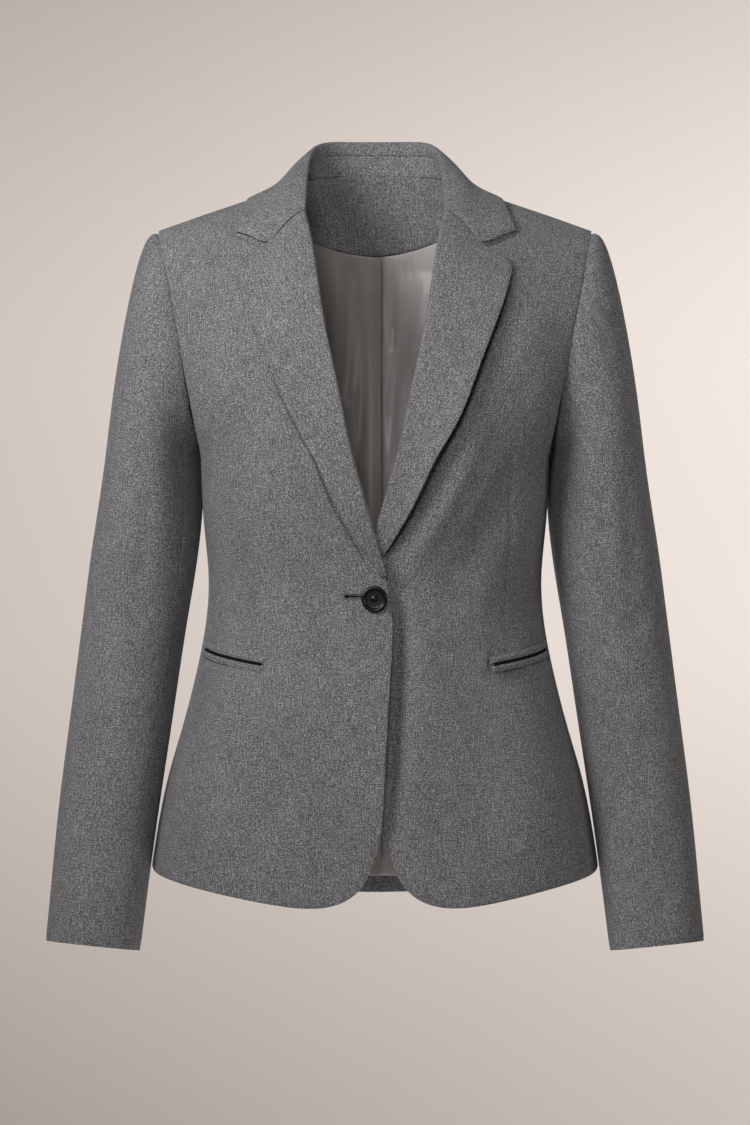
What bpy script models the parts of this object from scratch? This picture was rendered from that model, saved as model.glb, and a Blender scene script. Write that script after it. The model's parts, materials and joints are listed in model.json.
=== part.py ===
"""A fitted, one-button, single breasted blazer, filled out as it would be worn.

Sizes are in millimetres and are turned into metres when a mesh is made. +Z is up, -Y is the
front, and the origin lies in the middle of the neck opening, level with the nape seam.
Each side is worked out on its own side of the centre (x grows towards its own arm) and is then
placed with SIDE_SIGN. "Right" and "left" are the wearer's, so the right front is at -X.
"""

import bpy
import numpy as np
from mathutils import Vector
from mathutils.bvhtree import BVHTree

MM = 0.001
SIDE_SIGN = {"right": -1.0, "left": 1.0}

# ---- driving sizes -------------------------------------------------------------------------
WOOL = 2.0                 # shell cloth with its interlining
LAPEL_WALL = 2.2           # facing and under collar, pressed together
LINING_WALL = 1.0
SEAM_GAP = 0.3
SLEEVE_SEAM_GAP = 0.45
SQUARENESS = 2.35          # 2 is an ellipse, more is flatter across the chest and the back
SLEEVE_SQUARENESS = 2.15
UNDERARM = -236.0
HEM_SIDE = -604.5
WELT_HEIGHT = 6.5
WELT_WALL = 1.5
WELT_LENGTH = 88.0
WELT_SLIT = 0.5            # between the two welts of a pocket
WELT_GAP = 0.5             # between a welt and the front that it lies on
WELT_FROM_SIDE_SEAM = {"right": 29.5, "left": 24.5}
BUTTON_RADIUS = 11.0
BUTTON_THICKNESS = 4.2
BUTTON_HEIGHT = -371.7
BUTTON_SHIFT = -0.5        # the button's place across the front
BUTTON_REST = 0.8          # its back stands this far off the front, on its thread
BUTTON_SIDES = 28
BUTTON_MERGE = 0.01        # closes the turned form on its axis
FACING_DEPTH = 68.0        # back neck facing, below the nape
FACING_WALL = 1.2
FACING_RISE = 1.2          # the facing's upper edge, above the neck seam
FACING_HALF = 57.0
FACING_LOW_SIDE = 12.0     # how much higher its lower edge is, FACING_HALF from the centre
LINING_HEM = -623.0
LINING_OFFSET = 3.1        # from the middle of the back's wall to the middle of the lining
LINING_EASE = 3.6          # added towards the side seam, where the lining is cut easy
EASE_STARTS = (0.4, 0.85)  # shares of the way from the centre back to the side seam
LINING_ABOVE_HEM = 6.0     # the least that the lining ends above the back's own hem
LINING_BELOW_SEAM = 2.0    # and the least that it starts below the shoulder seam
PLEAT_LIFT = 1.7           # the right lining lies this far inside the left one at the centre
PLEAT_FADE = 40.0          # and comes back to the left one's level this far from it
PLEAT_EDGE = {"right": -4.0, "left": 1.5}   # past the centre, and short of it
LINING_SEAM_GAPS = (1.5, 0.4)               # at the side seam, and at the facing or shoulder

# The body at each level: half width, and depth in front of and behind the side seam.
LEVELS = (
    # z, half_width, front, back
    (-650.0, 198.5, 127.0, 119.0),
    (-605.0, 193.5, 124.0, 116.0),
    (-565.0, 187.3, 122.0, 113.0),
    (-525.0, 179.0, 119.0, 109.0),
    (-484.0, 166.5, 115.0, 103.0),
    (-442.0, 155.7, 111.0, 96.0),
    (-400.0, 146.9, 107.0, 90.0),
    (-360.0, 143.1, 107.0, 86.0),
    (-317.0, 147.0, 117.0, 92.0),
    (-290.0, 149.6, 122.0, 98.0),
    (-257.0, 150.6, 124.0, 103.0),
    (-215.0, 150.0, 120.0, 105.0),
)

# Front edge of the upper (right) front and the round to the hem, from the round upwards.
FRONT_EDGE = (
    # x, z
    (6.0, -605.5),
    (0.5, -592.0),
    (-5.4, -571.0),
    (-7.2, -534.0),
    (-9.6, -492.0),
    (-12.4, -441.0),
    (-15.1, -407.0),
    (-15.1, -380.0),
    (-10.9, -357.4),
)
# How far the under (left) front swings back from the centre, lower down.
UNDER_SWING = (
    # z, shift
    (-640.0, 13.0),
    (-571.0, 13.0),
    (-534.0, 10.0),
    (-492.0, 6.5),
    (-441.0, 2.5),
    (-407.0, 0.5),
    (-380.0, 0.0),
    (-200.0, 0.0),
)
# How deep the under front lies behind the upper one, at the centre.
UNDER_DEPTH = (
    # z, depth
    (-650.0, 4.4),
    (-560.0, 5.2),
    (-440.0, 5.2),
    (-400.0, 4.2),
    (-366.0, 3.4),
    (-338.0, 6.2),
    (-300.0, 5.4),
    (-250.0, 1.6),
    (-215.0, 0.0),
)
# Hem of a front, from the round to the side seam.
FRONT_HEM = (
    # x, z
    (6.0, -605.5),
    (15.5, -619.5),
    (26.0, -626.6),
    (38.5, -630.6),
    (60.0, -631.3),
    (94.8, -626.8),
    (136.0, -619.8),
    (168.5, -613.2),
)
# Hem of a back, by the share of the way from the centre back to the side seam.
BACK_HEM = (
    # share, z
    (0.0, -638.0),
    (0.25, -636.0),
    (0.5, -628.0),
    (0.75, -615.5),
    (1.0, HEM_SIDE),
)
# The roll line as it is seen, from the break at the waist up to the gorge seam.
ROLL_LINE = (
    # x, y, z
    (-10.9, -107.5, -357.4),
    (-8.7, -110.0, -347.0),
    (-5.4, -113.0, -331.0),
    (-0.7, -117.0, -317.0),
    (4.9, -121.0, -297.0),
    (11.4, -123.0, -275.0),
    (19.4, -123.4, -247.4),
    (26.4, -118.5, -211.0),
    (34.2, -110.0, -174.6),
    (41.0, -99.5, -143.0),
    (46.3, -86.0, -108.0),
    (51.8, -69.0, -71.0),
    (58.0, -46.0, -41.5),
)
ROLL_OUT = 3.4             # the roll stands this far past the edge of the front panel
ROLL_STARTS = (-366.0, -346.0)
ROLL_LIFT = 3.1            # the facing's middle lies this far from the front's middle
ROLL_FOOT = 0.9            # a full roll starts this far behind the front's middle
ROLL_OPENS = 2.2           # a roll narrower than this lies flat on the front
# The turn of a roll, from the panel's edge round to the facing: how far a point lies short of
# the roll's outermost line, and its share of the way from the foot out to the facing.
ROLL_TURN = (
    # short, share
    (0.2, 0.0),
    (0.0, 0.35),
    (0.25, 0.68),
    (0.95, 0.92),
    (2.2, 1.0),
)
# Armhole, from the top of the side seam over the front to the shoulder, and over the back.
ARMHOLE_FRONT = (
    # x, y, z
    (150.2, 0.0, UNDERARM),
    (152.5, -25.0, -230.0),
    (157.0, -43.0, -210.0),
    (162.5, -51.0, -182.0),
    (168.5, -50.0, -150.0),
    (175.5, -42.0, -113.0),
    (182.5, -27.0, -80.0),
    (186.6, -13.0, -60.5),
    (188.5, 4.0, -52.8),
)
ARMHOLE_BACK = (
    # x, y, z
    (150.2, 0.0, UNDERARM),
    (151.5, 24.0, -231.0),
    (155.0, 43.0, -212.0),
    (160.5, 53.0, -182.0),
    (167.5, 54.0, -148.0),
    (175.5, 48.0, -112.0),
    (183.0, 33.0, -79.0),
    (186.8, 20.0, -60.0),
    (188.5, 4.0, -52.8),
)
NECK_FRONT = (
    # x, y, z: from the gorge to the neck end of the shoulder seam
    (61.4, -44.5, -42.5),
    (65.4, -31.0, -31.5),
    (69.0, -14.5, -19.5),
    (70.5, 5.0, -11.5),
)
NECK_BACK = (
    # x, y, z: from the nape to the neck end of the shoulder seam
    (0.0, 62.0, 0.0),
    (25.0, 58.5, -0.8),
    (47.0, 46.5, -3.0),
    (63.0, 27.5, -7.0),
    (70.5, 5.0, -11.5),
)
SHOULDER = (
    # x, y, z
    (70.5, 5.0, -11.5),
    (106.0, 6.0, -24.0),
    (147.0, 5.5, -37.9),
    (188.5, 4.0, -52.8),
)
CENTRE_BACK = (
    # x, y, z: from the underarm level up to the nape
    (0.0, 105.0, UNDERARM),
    (0.0, 105.0, -190.0),
    (0.0, 101.0, -130.0),
    (0.0, 91.5, -80.0),
    (0.0, 76.0, -34.0),
    (0.0, 62.0, 0.0),
)
UNDER_FADE = (12.0, 95.0)  # from the centre, where the under front comes out to its own form
SWING_FADE = (60.0, 150.0)
# Directions in which the panels run into the seams above them.
FRONT_AT_SHOULDER = (0.0, 0.96, 0.28)
BACK_AT_NAPE = (0.0, -0.36, 0.93)
BACK_AT_SHOULDER = (0.0, -0.97, 0.22)
LAPEL_FOOT = (-9.8, -108.8, -352.0)   # lower end of the upper front's roll
# Outer edge of a lapel, from its lower end to its corner.
LAPEL_EDGE = (
    # x, z
    (-4.6, -351.5),
    (-0.8, -347.0),
    (6.0, -336.0),
    (19.8, -314.0),
    (33.0, -290.0),
    (45.0, -263.0),
    (66.8, -222.4),
    (85.0, -178.0),
    (98.5, -142.3),
    (108.0, -119.0),
    (116.5, -87.0),
)
# A lapel's cells across: three up to the notch and three beyond it, as shares of the way from
# the roll to the outer edge. A collar end has the same.
LAPEL_SHARES = (0.19, 0.376, 0.564, 0.71, 0.855, 1.0)
LAPEL_PRESSED = 0.5        # the right lapel's outer edge lies this much further off the chest
LAPEL_SPRING = 6.5         # the left lapel's does by this much, half way up
LAPEL_SPRING_TOP = 1.2     # and by this much at its corner
GORGE_GAP = 0.45           # drawn in from the gorge seam on each side of it
GORGE_POINTS = 8           # of a lapel's upper row, from the roll's foot to the notch
NOTCH = (91.0, -67.5)      # inner end of the notch, x and z
# The collar from the centre back to its front end: foot of the leaf on the inside, fold,
# middle of the fall and outer edge.
COLLAR_FOLD = (
    # x, y, z
    (0.0, 62.0, 31.4),
    (25.0, 58.5, 31.2),
    (44.5, 46.0, 29.4),
    (54.5, 27.0, 21.8),
    (58.0, 5.0, 7.6),
    (59.0, -17.0, -11.5),
    (59.2, -33.0, -28.5),
    (58.0, -46.0, -41.5),
)
COLLAR_MIDDLE = (
    # x, y, z
    (0.0, 71.5, 7.0),
    (31.0, 68.0, 7.0),
    (57.0, 55.5, 3.5),
    (75.0, 33.0, -3.5),
    (83.0, 5.0, -9.5),
    (86.0, -20.0, -24.0),
    (88.5, -42.0, -45.0),
    (NOTCH[0], -63.0, NOTCH[1]),
)
COLLAR_EDGE = (
    # x, y, z
    (0.0, 75.5, -18.0),
    (33.0, 74.0, -19.0),
    (66.0, 63.5, -22.0),
    (92.0, 40.0, -26.5),
    (107.0, 6.0, -26.0),
    (114.0, -20.0, -36.0),
    (117.5, -37.0, -46.5),
    (120.0, -50.0, -57.5),
)
COLLAR_FOLD_RADIUS = 1.7
COLLAR_TIP_LIFT = 0.4      # the collar's front corner lies this much further off the chest
COLLAR_CLEAR = 0.8         # and the leaf at least this much, all round
COLLAR_ENDS_FROM = 0.66    # share of the way round where the leaf starts to lie like the lapel
FALL_BULGE = ((1 / 3, 2.6), (2 / 3, 2.0))   # share of the way down to the middle, and how far out
LEAF_FOOT = 0.37           # the leaf ends this share of the way down from the fold, inside
LEAF_FOOT_IN = 0.6         # and this far inside the straight line to the neck seam
LEAF_INSIDE = 0.55         # its next point is this share of the way from there to the fold
STAND_FOOT = (0.9, 1.7)    # the stand's foot, in from the neck seam and above it
STAND_REACH = 0.97         # its share of the way up to the leaf
STAND_ENDS = 0.8           # share of the way round, from the centre back
STAND_CELLS = 3
# Sleeve: centre, half width and half depth of each section, from below the armhole to the cuff,
# and how far its inner side is tucked in behind the body.
SLEEVE = (
    # x, y, z, half_width, half_depth, tuck
    (194.8, -2.0, -256.0, 39.2, 57.0, 4.0),
    (196.2, -1.0, -290.0, 42.7, 56.0, 3.4),
    (198.2, 0.0, -317.0, 45.6, 55.0, 1.0),
    (204.1, 1.0, -358.0, 45.1, 53.0, 0.0),
    (210.2, 1.0, -400.0, 44.3, 50.5, 0.0),
    (215.8, -1.5, -442.0, 43.9, 48.5, 0.0),
    (221.4, -5.0, -484.0, 43.4, 46.5, 0.0),
    (227.0, -9.5, -525.0, 43.0, 44.5, 0.0),
    (232.8, -14.5, -570.0, 42.3, 42.5, 0.0),
    (238.0, -19.5, -620.0, 41.1, 40.5, 0.0),
    (243.4, -24.3, -671.5, 40.4, 39.0, 0.0),
)
TUCK_BACK = 7.0            # a tucked inner side goes this many times as far back as it goes in
CROWN = 2.9                # fullness eased into the top of the sleeve head
CROWN_AT = 0.15            # share of the way down the head where it is fullest
CROWN_WAY = (0.8, 0.0, 0.6)
# The sleeve's rows leave the armhole steeply under the arm and nearly straight out at the top.
HEAD_OUT = 0.06            # how far they lean outwards under the arm; 1 at the top
HEAD_SPREAD = 0.30         # and to the front and the back, half way up
HEAD_RISE = 0.12           # and upwards, at the top
HEAD_LEAVE = (0.33, 0.078) # how stiffly they leave the armhole, under the arm and at the top
HEAD_ARRIVE = (0.33, 0.415)   # and run into the tube below
HEAD_LEAN = 0.42           # how much of the tube's own slant is lost at the top
ARMHOLE_GAP = 0.5          # from a sleeve's middle surface to the armhole, at the top
ARMHOLE_GAP_SIDES = 0.8    # added at the front and at the back
UNDERARM_WALLS = 0.95      # added under the arm, as a share of the wool
POCKET_INNER = -421.0      # height of the pocket's upper edge at its two ends
POCKET_OUTER = -408.0

# Numbers of cells in the panels' grids.
NECK_CELLS = 4             # of the back; a front's neck seam is part of its inner edge
SHOULDER_CELLS = 10
UNDERARM_DIP = 15.0        # the row below the armhole sags this far, next to the side seam
DIP_STARTS = (0.45, 0.88)  # shares of the way from the centre to the side seam
DIP_ENDS = (0.90, 1.0)
EDGE_STEP = 8.0            # the least distance between two points of a front's edge
LOWER_ROWS = 13
UPPER_ROWS = 12
FACING_CELLS = 9           # from the centre back to each end of the facing
FACING_ROWS = 4
LINING_ROWS = 20
WELT_CELLS = 9
SLEEVE_HEAD_ROWS = 8
HEAD_GATHER = 1.6          # draws the rows of the sleeve head towards the armhole
SLEEVE_ROWS = 10
SLEEVE_CELLS = 2 * UPPER_ROWS
SLEEVE_SEAM_CELL = 3       # forearm and hindarm seams, counted from the underarm
LAPEL_ROWS = 16
COLLAR_STATIONS = 14       # from the centre back to one end
# How closely the cells gather towards the start of a row or column; 1 is even.
EDGE_GATHER = 1.25
HEM_GATHER = 1.35
CHEST_GATHER = 1.05
INNER_PULL = 1.6           # how fast a panel's own form gives way to its inner edge
OUTER_PULL = 2.2           # and to the armhole
PANEL_LEAVE = 0.36         # how stiffly a panel's upper part leaves the level below
PANEL_ARRIVE = 0.30        # and runs into the shoulder
QUARTER_ROUND = 1.35       # from the centre round to the side seam, in half widths
SECTION_POINTS = 240
SECTION_PAST = 115.0       # degrees, from the side seam to past the centre
LEAST_RISE = 1e-6          # keeps the heights along a column apart
AHEAD = 400.0              # in front of every piece
INSIDE_BODY = (0.0, 0.0, -200.0)
AWAY_WEIGHTS = (1.0, 1.0, 0.4)   # away from the body counts less upwards than sideways
PUSHES = 3                 # tries at moving a point of the collar clear of the panels

# Half the button's section, from the middle of its face, round the rim, to the middle behind.
BUTTON_PROFILE = (
    # share of the radius, share of the thickness in front of the back face
    (0.0, 0.42),
    (0.30, 0.46),
    (0.52, 0.62),
    (0.62, 0.86),
    (0.76, 1.0),
    (0.90, 0.93),
    (1.0, 0.62),
    (0.97, 0.30),
    (0.80, 0.06),
    (0.60, 0.0),
    (0.0, 0.0),
)

COLOURS = {
    # red, green, blue (linear), roughness
    "wool": (0.125, 0.122, 0.124, 0.9),
    "lining": (0.14, 0.128, 0.12, 0.45),
    "button": (0.006, 0.006, 0.006, 0.2),
}


# ---- curves and surfaces ---------------------------------------------------------------------
def smooth_step(value, low, high):
    share = np.clip((value - low) / (high - low), 0.0, 1.0)
    return share * share * (3 - 2 * share)


def between(share, start, end):
    return start + (end - start) * share


def through(keys, values, at):
    """Cubic through the rows of a table; keys ascend."""
    keys = np.asarray(keys, float)
    values = np.asarray(values, float)
    at = np.clip(np.asarray(at, float), keys[0], keys[-1])
    cell = np.clip(np.searchsorted(keys, at, side="right") - 1, 0, len(keys) - 2)
    slope = np.gradient(values, keys, axis=0)
    step = keys[cell + 1] - keys[cell]
    t = (at - keys[cell]) / step
    if values.ndim > 1:
        step = np.asarray(step)[..., None]
        t = np.asarray(t)[..., None]
    return (
        (2 * t**3 - 3 * t**2 + 1) * values[cell]
        + (t**3 - 2 * t**2 + t) * step * slope[cell]
        + (3 * t**2 - 2 * t**3) * values[cell + 1]
        + (t**3 - t**2) * step * slope[cell + 1]
    )


def along(points, shares):
    """Points at these shares of the way along a smooth curve through a table of points."""
    points = np.asarray(points, float)
    chord = np.r_[0, np.cumsum(np.linalg.norm(np.diff(points, axis=0), axis=1))]
    fine = through(chord, points, np.linspace(0, chord[-1], 40 * len(points)))
    run = np.r_[0, np.cumsum(np.linalg.norm(np.diff(fine, axis=0), axis=1))]
    at = np.asarray(shares, float) * run[-1]
    return np.stack([np.interp(at, run, axis) for axis in fine.T], axis=-1)


def unit(vectors):
    return vectors / np.maximum(np.linalg.norm(vectors, axis=-1, keepdims=True), 1e-9)


def level(z):
    """Half width, front depth and back depth of the body at a height."""
    table = np.array(LEVELS)
    return through(table[:, 0], table[:, 1:], z)


def section(z, half):
    """(x, y, run) of the body's section, front or back, from past the centre to the side seam."""
    half_width, front, back = level(z)
    depth = -front if half == "front" else back
    angle = np.linspace(np.radians(SECTION_PAST), 0, SECTION_POINTS)
    x = half_width * np.sign(np.cos(angle)) * np.abs(np.cos(angle)) ** (2 / SQUARENESS)
    y = depth * np.abs(np.sin(angle)) ** (2 / SQUARENESS)
    run = np.r_[0, np.cumsum(np.hypot(np.diff(x), np.diff(y)))]
    return x, y, run


def reach(z, x, half):
    """Share of the way from the centre (0) round to the side seam (1) of a point at this x."""
    xs, _, run = section(z, half)
    centre = np.interp(0.0, xs, run)
    return (np.interp(x, xs, run) - centre) / (run[-1] - centre)


def on_body(z, share, half):
    xs, ys, run = section(z, half)
    centre = np.interp(0.0, xs, run)
    at = centre + share * (run[-1] - centre)
    return np.array([np.interp(at, run, xs), np.interp(at, run, ys), z])


def coons(bottom, top, left, right):
    """A grid of points with these four edges: rows go from bottom to top."""
    rows, columns = len(left), len(bottom)
    v = np.linspace(0, 1, rows)[:, None, None]
    u = np.linspace(0, 1, columns)[None, :, None]
    edges = (1 - v) * bottom[None] + v * top[None] + (1 - u) * left[:, None] + u * right[:, None]
    corners = (
        (1 - u) * (1 - v) * bottom[0]
        + u * (1 - v) * bottom[-1]
        + (1 - u) * v * top[0]
        + u * v * top[-1]
    )
    return edges - corners


def normals_of(grid, ring=False):
    """Unit normals of a grid of points; a ring's columns close on themselves."""
    if ring:
        wide = np.concatenate([grid[:, -2:-1], grid, grid[:, 1:2]], axis=1)
        across = (wide[:, 2:] - wide[:, :-2]) / 2
    else:
        across = np.gradient(grid, axis=1)
    up = np.gradient(grid, axis=0)
    return unit(np.cross(across, up))


# ---- meshes ----------------------------------------------------------------------------------
def material(name):
    found = bpy.data.materials.get(name)
    if found is None:
        red, green, blue, roughness = COLOURS[name]
        found = bpy.data.materials.new(name)
        found.use_nodes = True
        shader = found.node_tree.nodes["Principled BSDF"]
        shader.inputs["Base Color"].default_value = (red, green, blue, 1)
        shader.inputs["Roughness"].default_value = roughness
    return found


def add_object(name, points, faces, look):
    mesh = bpy.data.meshes.new(name)
    mesh.from_pydata([tuple(point * MM) for point in points], [], faces)
    mesh.materials.append(material(look))
    mesh.shade_smooth()
    mesh.set_sharp_from_angle(angle=np.radians(40))
    node = bpy.data.objects.new(name, mesh)
    bpy.context.scene.collection.objects.link(node)
    return node


def add_wall(name, grid, normals, thickness, look, mirrored):
    """A closed wall round a grid of points: half the thickness goes to each side."""
    if mirrored:
        flip = np.array([-1.0, 1.0, 1.0])
        grid = (grid * flip)[:, ::-1]
        normals = (normals * flip)[:, ::-1]
    rows, columns = grid.shape[:2]
    outer = (grid + normals * thickness / 2).reshape(-1, 3)
    inner = (grid - normals * thickness / 2).reshape(-1, 3)
    count = rows * columns

    def spot(row, column, side):
        return row * columns + column + side * count

    faces = []
    for row in range(rows - 1):
        for column in range(columns - 1):
            corners = [
                spot(row, column, 0),
                spot(row, column + 1, 0),
                spot(row + 1, column + 1, 0),
                spot(row + 1, column, 0),
            ]
            if mirrored:
                corners = corners[1:] + corners[:1]
            faces.append(corners)
            faces.append([corner + count for corner in (corners[0], *corners[:0:-1])])
    for row in range(rows - 1):
        faces.append([spot(row, 0, 0), spot(row + 1, 0, 0), spot(row + 1, 0, 1), spot(row, 0, 1)])
        last = columns - 1
        faces.append(
            [spot(row, last, 1), spot(row + 1, last, 1), spot(row + 1, last, 0), spot(row, last, 0)]
        )
    for column in range(columns - 1):
        faces.append(
            [spot(0, column, 1), spot(0, column + 1, 1), spot(0, column + 1, 0), spot(0, column, 0)]
        )
        last = rows - 1
        faces.append(
            [
                spot(last, column, 0),
                spot(last, column + 1, 0),
                spot(last, column + 1, 1),
                spot(last, column, 1),
            ]
        )
    return add_object(name, np.concatenate([outer, inner]), faces, look)


def trim(grid, left=0.0, right=0.0, bottom=0.0, top=0.0):
    """The grid with its edges drawn in along the cloth, as the seam gap asks."""
    grid = grid.copy()
    grid[:, 0] += unit(grid[:, 1] - grid[:, 0]) * left
    grid[:, -1] += unit(grid[:, -2] - grid[:, -1]) * right
    grid[0] += unit(grid[1] - grid[0]) * bottom
    grid[-1] += unit(grid[-2] - grid[-1]) * top
    return grid


# ---- body panels -------------------------------------------------------------------------------
def roll_inset(z):
    return ROLL_OUT * smooth_step(z, *ROLL_STARTS)


def front_edge_points(side):
    """(x, z) of a front panel's edge, from the round at the hem up to the underarm level."""
    edge = [list(row) for row in FRONT_EDGE]
    for x, _, z in ROLL_LINE[1:]:
        if z < UNDERARM - EDGE_STEP:
            edge.append([x + roll_inset(z), z])
    roll = np.array(ROLL_LINE)
    last = through(roll[:, 2], roll[:, 0], UNDERARM)
    edge.append([float(last) + ROLL_OUT, UNDERARM])
    if side == "left":
        swing = np.array(UNDER_SWING)
        for row in edge:
            row[0] += float(through(swing[:, 0], swing[:, 1], row[1]))
    return np.array(edge)


def cell_shares(cells, gather=1.0):
    return np.linspace(0, 1, cells + 1) ** gather


def underarm_dip(shares):
    return UNDERARM_DIP * smooth_step(shares, *DIP_STARTS) * (1 - smooth_step(shares, *DIP_ENDS))


def lower_front(side):
    """Rows from the hem to the underarm of a front."""
    columns = SHOULDER_CELLS
    edge = along(front_edge_points(side), cell_shares(LOWER_ROWS, EDGE_GATHER))
    hem = np.array(FRONT_HEM)
    if side == "left":
        hem[:, 0] += UNDER_SWING[0][1] * (1 - smooth_step(hem[:, 0], *SWING_FADE))
    hem_shares = np.array([[reach(z, x, "front"), z] for x, z in hem] + [[1.0, HEM_SIDE]])
    scale = level(HEM_SIDE)[0] * QUARTER_ROUND
    hem_shares = along(hem_shares * [scale, 1], cell_shares(columns, HEM_GATHER)) / [scale, 1]
    left = np.array([[reach(z, x, "front"), z] for x, z in edge])
    right = np.stack([np.ones(LOWER_ROWS + 1), np.linspace(HEM_SIDE, UNDERARM, LOWER_ROWS + 1)], 1)
    top_start = left[-1, 0]
    top_shares = top_start + (1 - top_start) * cell_shares(columns, CHEST_GATHER)
    top = np.stack([top_shares, UNDERARM - underarm_dip(cell_shares(columns))], 1)
    plan = coons(hem_shares, top, left, right)
    return np.array([[on_body(z, share, "front") for share, z in row] for row in plan])


def lower_back():
    shares = cell_shares(NECK_CELLS + SHOULDER_CELLS)
    columns = len(shares) - 1
    hem_table = np.array(BACK_HEM)
    hem = through(hem_table[:, 0], hem_table[:, 1], shares)
    climb = cell_shares(LOWER_ROWS)
    grid = np.zeros((LOWER_ROWS + 1, columns + 1, 3))
    for row, part in enumerate(climb):
        for column, share in enumerate(shares):
            top = UNDERARM - underarm_dip(share)
            z = hem[column] + (top - hem[column]) * part
            grid[row, column] = on_body(z, share, "back")
    return grid


def upper_rows(start, start_slope, finish, finish_slope, inner_edge, outer_edge):
    """Rows from the underarm level to the neck and shoulder seams.

    Each column is a cubic from the level below to the seam above, and the two outer columns
    are drawn onto the roll line (or centre back) and the armhole.
    """
    climb = cell_shares(UPPER_ROWS)[:, None, None]
    length = np.linalg.norm(finish - start, axis=1)[:, None]
    lower = start + start_slope * length * PANEL_LEAVE
    higher = finish - finish_slope * length * PANEL_ARRIVE
    grid = (
        (1 - climb) ** 3 * start
        + 3 * (1 - climb) ** 2 * climb * lower
        + 3 * (1 - climb) * climb**2 * higher
        + climb**3 * finish
    )
    across = np.linspace(0, 1, grid.shape[1])[None, :, None]
    inner_pull = (inner_edge - grid[:, 0])[:, None] * (1 - across) ** INNER_PULL
    outer_pull = (outer_edge - grid[:, -1])[:, None] * across**OUTER_PULL
    return grid + inner_pull + outer_pull


def front_upper(lower):
    finish = along(SHOULDER, cell_shares(SHOULDER_CELLS))
    start = lower[-1]
    start_slope = unit(lower[-1] - lower[-2])
    finish_slope = unit(np.array([FRONT_AT_SHOULDER] * len(finish)))
    roll = np.array([row for row in ROLL_LINE if row[2] > UNDERARM], float)
    roll[:, 0] += ROLL_OUT
    inner = along(np.vstack([start[0], roll[:-1], NECK_FRONT]), cell_shares(UPPER_ROWS))
    outer = along(ARMHOLE_FRONT, cell_shares(UPPER_ROWS))
    return upper_rows(start, start_slope, finish, finish_slope, inner, outer)


def back_upper(lower):
    columns = lower.shape[1]
    neck = along(NECK_BACK, cell_shares(NECK_CELLS))
    shoulder = along(SHOULDER, cell_shares(SHOULDER_CELLS))
    finish = np.concatenate([neck[:-1], shoulder])
    start = lower[-1]
    start_slope = unit(lower[-1] - lower[-2])
    lean = np.linspace(0, 1, columns)[:, None]
    neck_lean = np.clip(lean * (columns - 1) / NECK_CELLS, 0, 1) ** 2
    finish_slope = unit((1 - neck_lean) * BACK_AT_NAPE + neck_lean * BACK_AT_SHOULDER)
    inner = along(CENTRE_BACK, cell_shares(UPPER_ROWS))
    inner[0] = start[0]
    outer = along(ARMHOLE_BACK, cell_shares(UPPER_ROWS))
    return upper_rows(start, start_slope, finish, finish_slope, inner, outer)


def lay_under(grid):
    """The under front drawn back behind the upper one near the centre."""
    depth = np.array(UNDER_DEPTH)
    grid = grid.copy()
    fade = 1 - smooth_step(grid[..., 0], *UNDER_FADE)
    grid[..., 1] += through(depth[:, 0], depth[:, 1], grid[..., 2]) * fade
    return grid


def body_side(side):
    """Grids and normals of a side's front and back, with shared normals at their seams."""
    front_low = lower_front(side)
    front = np.concatenate([front_low, front_upper(front_low)[1:]])
    if side == "left":
        front = lay_under(front)
    back_low = lower_back()
    back = np.concatenate([back_low, back_upper(back_low)[1:]])
    front_normals = normals_of(front)
    back_normals = -normals_of(back)
    lower = slice(0, LOWER_ROWS + 1)
    side_seam = unit(front_normals[lower, -1] + back_normals[lower, -1])
    front_normals[lower, -1] = side_seam
    back_normals[lower, -1] = side_seam
    shoulder = unit(front_normals[-1] + back_normals[-1, NECK_CELLS:])
    front_normals[-1] = shoulder
    back_normals[-1, NECK_CELLS:] = shoulder
    back_normals[:, 0, 0] = 0.0
    return front, front_normals, back, unit(back_normals)


def add_body(side, panels):
    front, front_normals, back, back_normals = panels
    mirrored = side == "right"
    half = SEAM_GAP / 2
    add_wall(
        f"front_{side}",
        trim(front, right=half, top=half),
        front_normals,
        WOOL,
        "wool",
        mirrored,
    )
    add_wall(
        f"back_{side}",
        trim(back, left=half, right=half, top=half)[:, ::-1],
        back_normals[:, ::-1],
        WOOL,
        "wool",
        mirrored,
    )


# ---- sleeves -----------------------------------------------------------------------------------
def sleeve_ring(row):
    """A section of the sleeve: points from the side facing the body, round the front."""
    x, y, z, half_width, half_depth, tuck, lean_x, lean_y = row
    axis = unit(np.array([lean_x, lean_y, -1.0]))
    across = unit(np.cross([0.0, 1.0, 0.0], -axis))
    deep = np.cross(-axis, across)
    angle = np.linspace(0, 2 * np.pi, SLEEVE_CELLS + 1)
    sharp = 2 / SLEEVE_SQUARENESS
    wide = -np.sign(np.cos(angle)) * np.abs(np.cos(angle)) ** sharp * half_width
    long = -np.sign(np.sin(angle)) * np.abs(np.sin(angle)) ** sharp * half_depth
    inner = np.clip(np.cos(angle), 0, 1)[:, None] ** 2 * tuck
    tucked = inner * np.array([-1.0, TUCK_BACK, 0.0])
    return np.array([x, y, z]) + wide[:, None] * across + long[:, None] * deep + tucked


def sleeve_tube():
    """The sections from below the armhole to the cuff."""
    table = np.array(SLEEVE)
    lean = np.gradient(table[:, :2], -table[:, 2], axis=0)
    table = np.hstack([table, lean])
    run = np.linspace(table[0, 2], table[-1, 2], SLEEVE_ROWS + 1)
    return np.array([sleeve_ring(row) for row in through(-table[:, 2], table, -run)])


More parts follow.
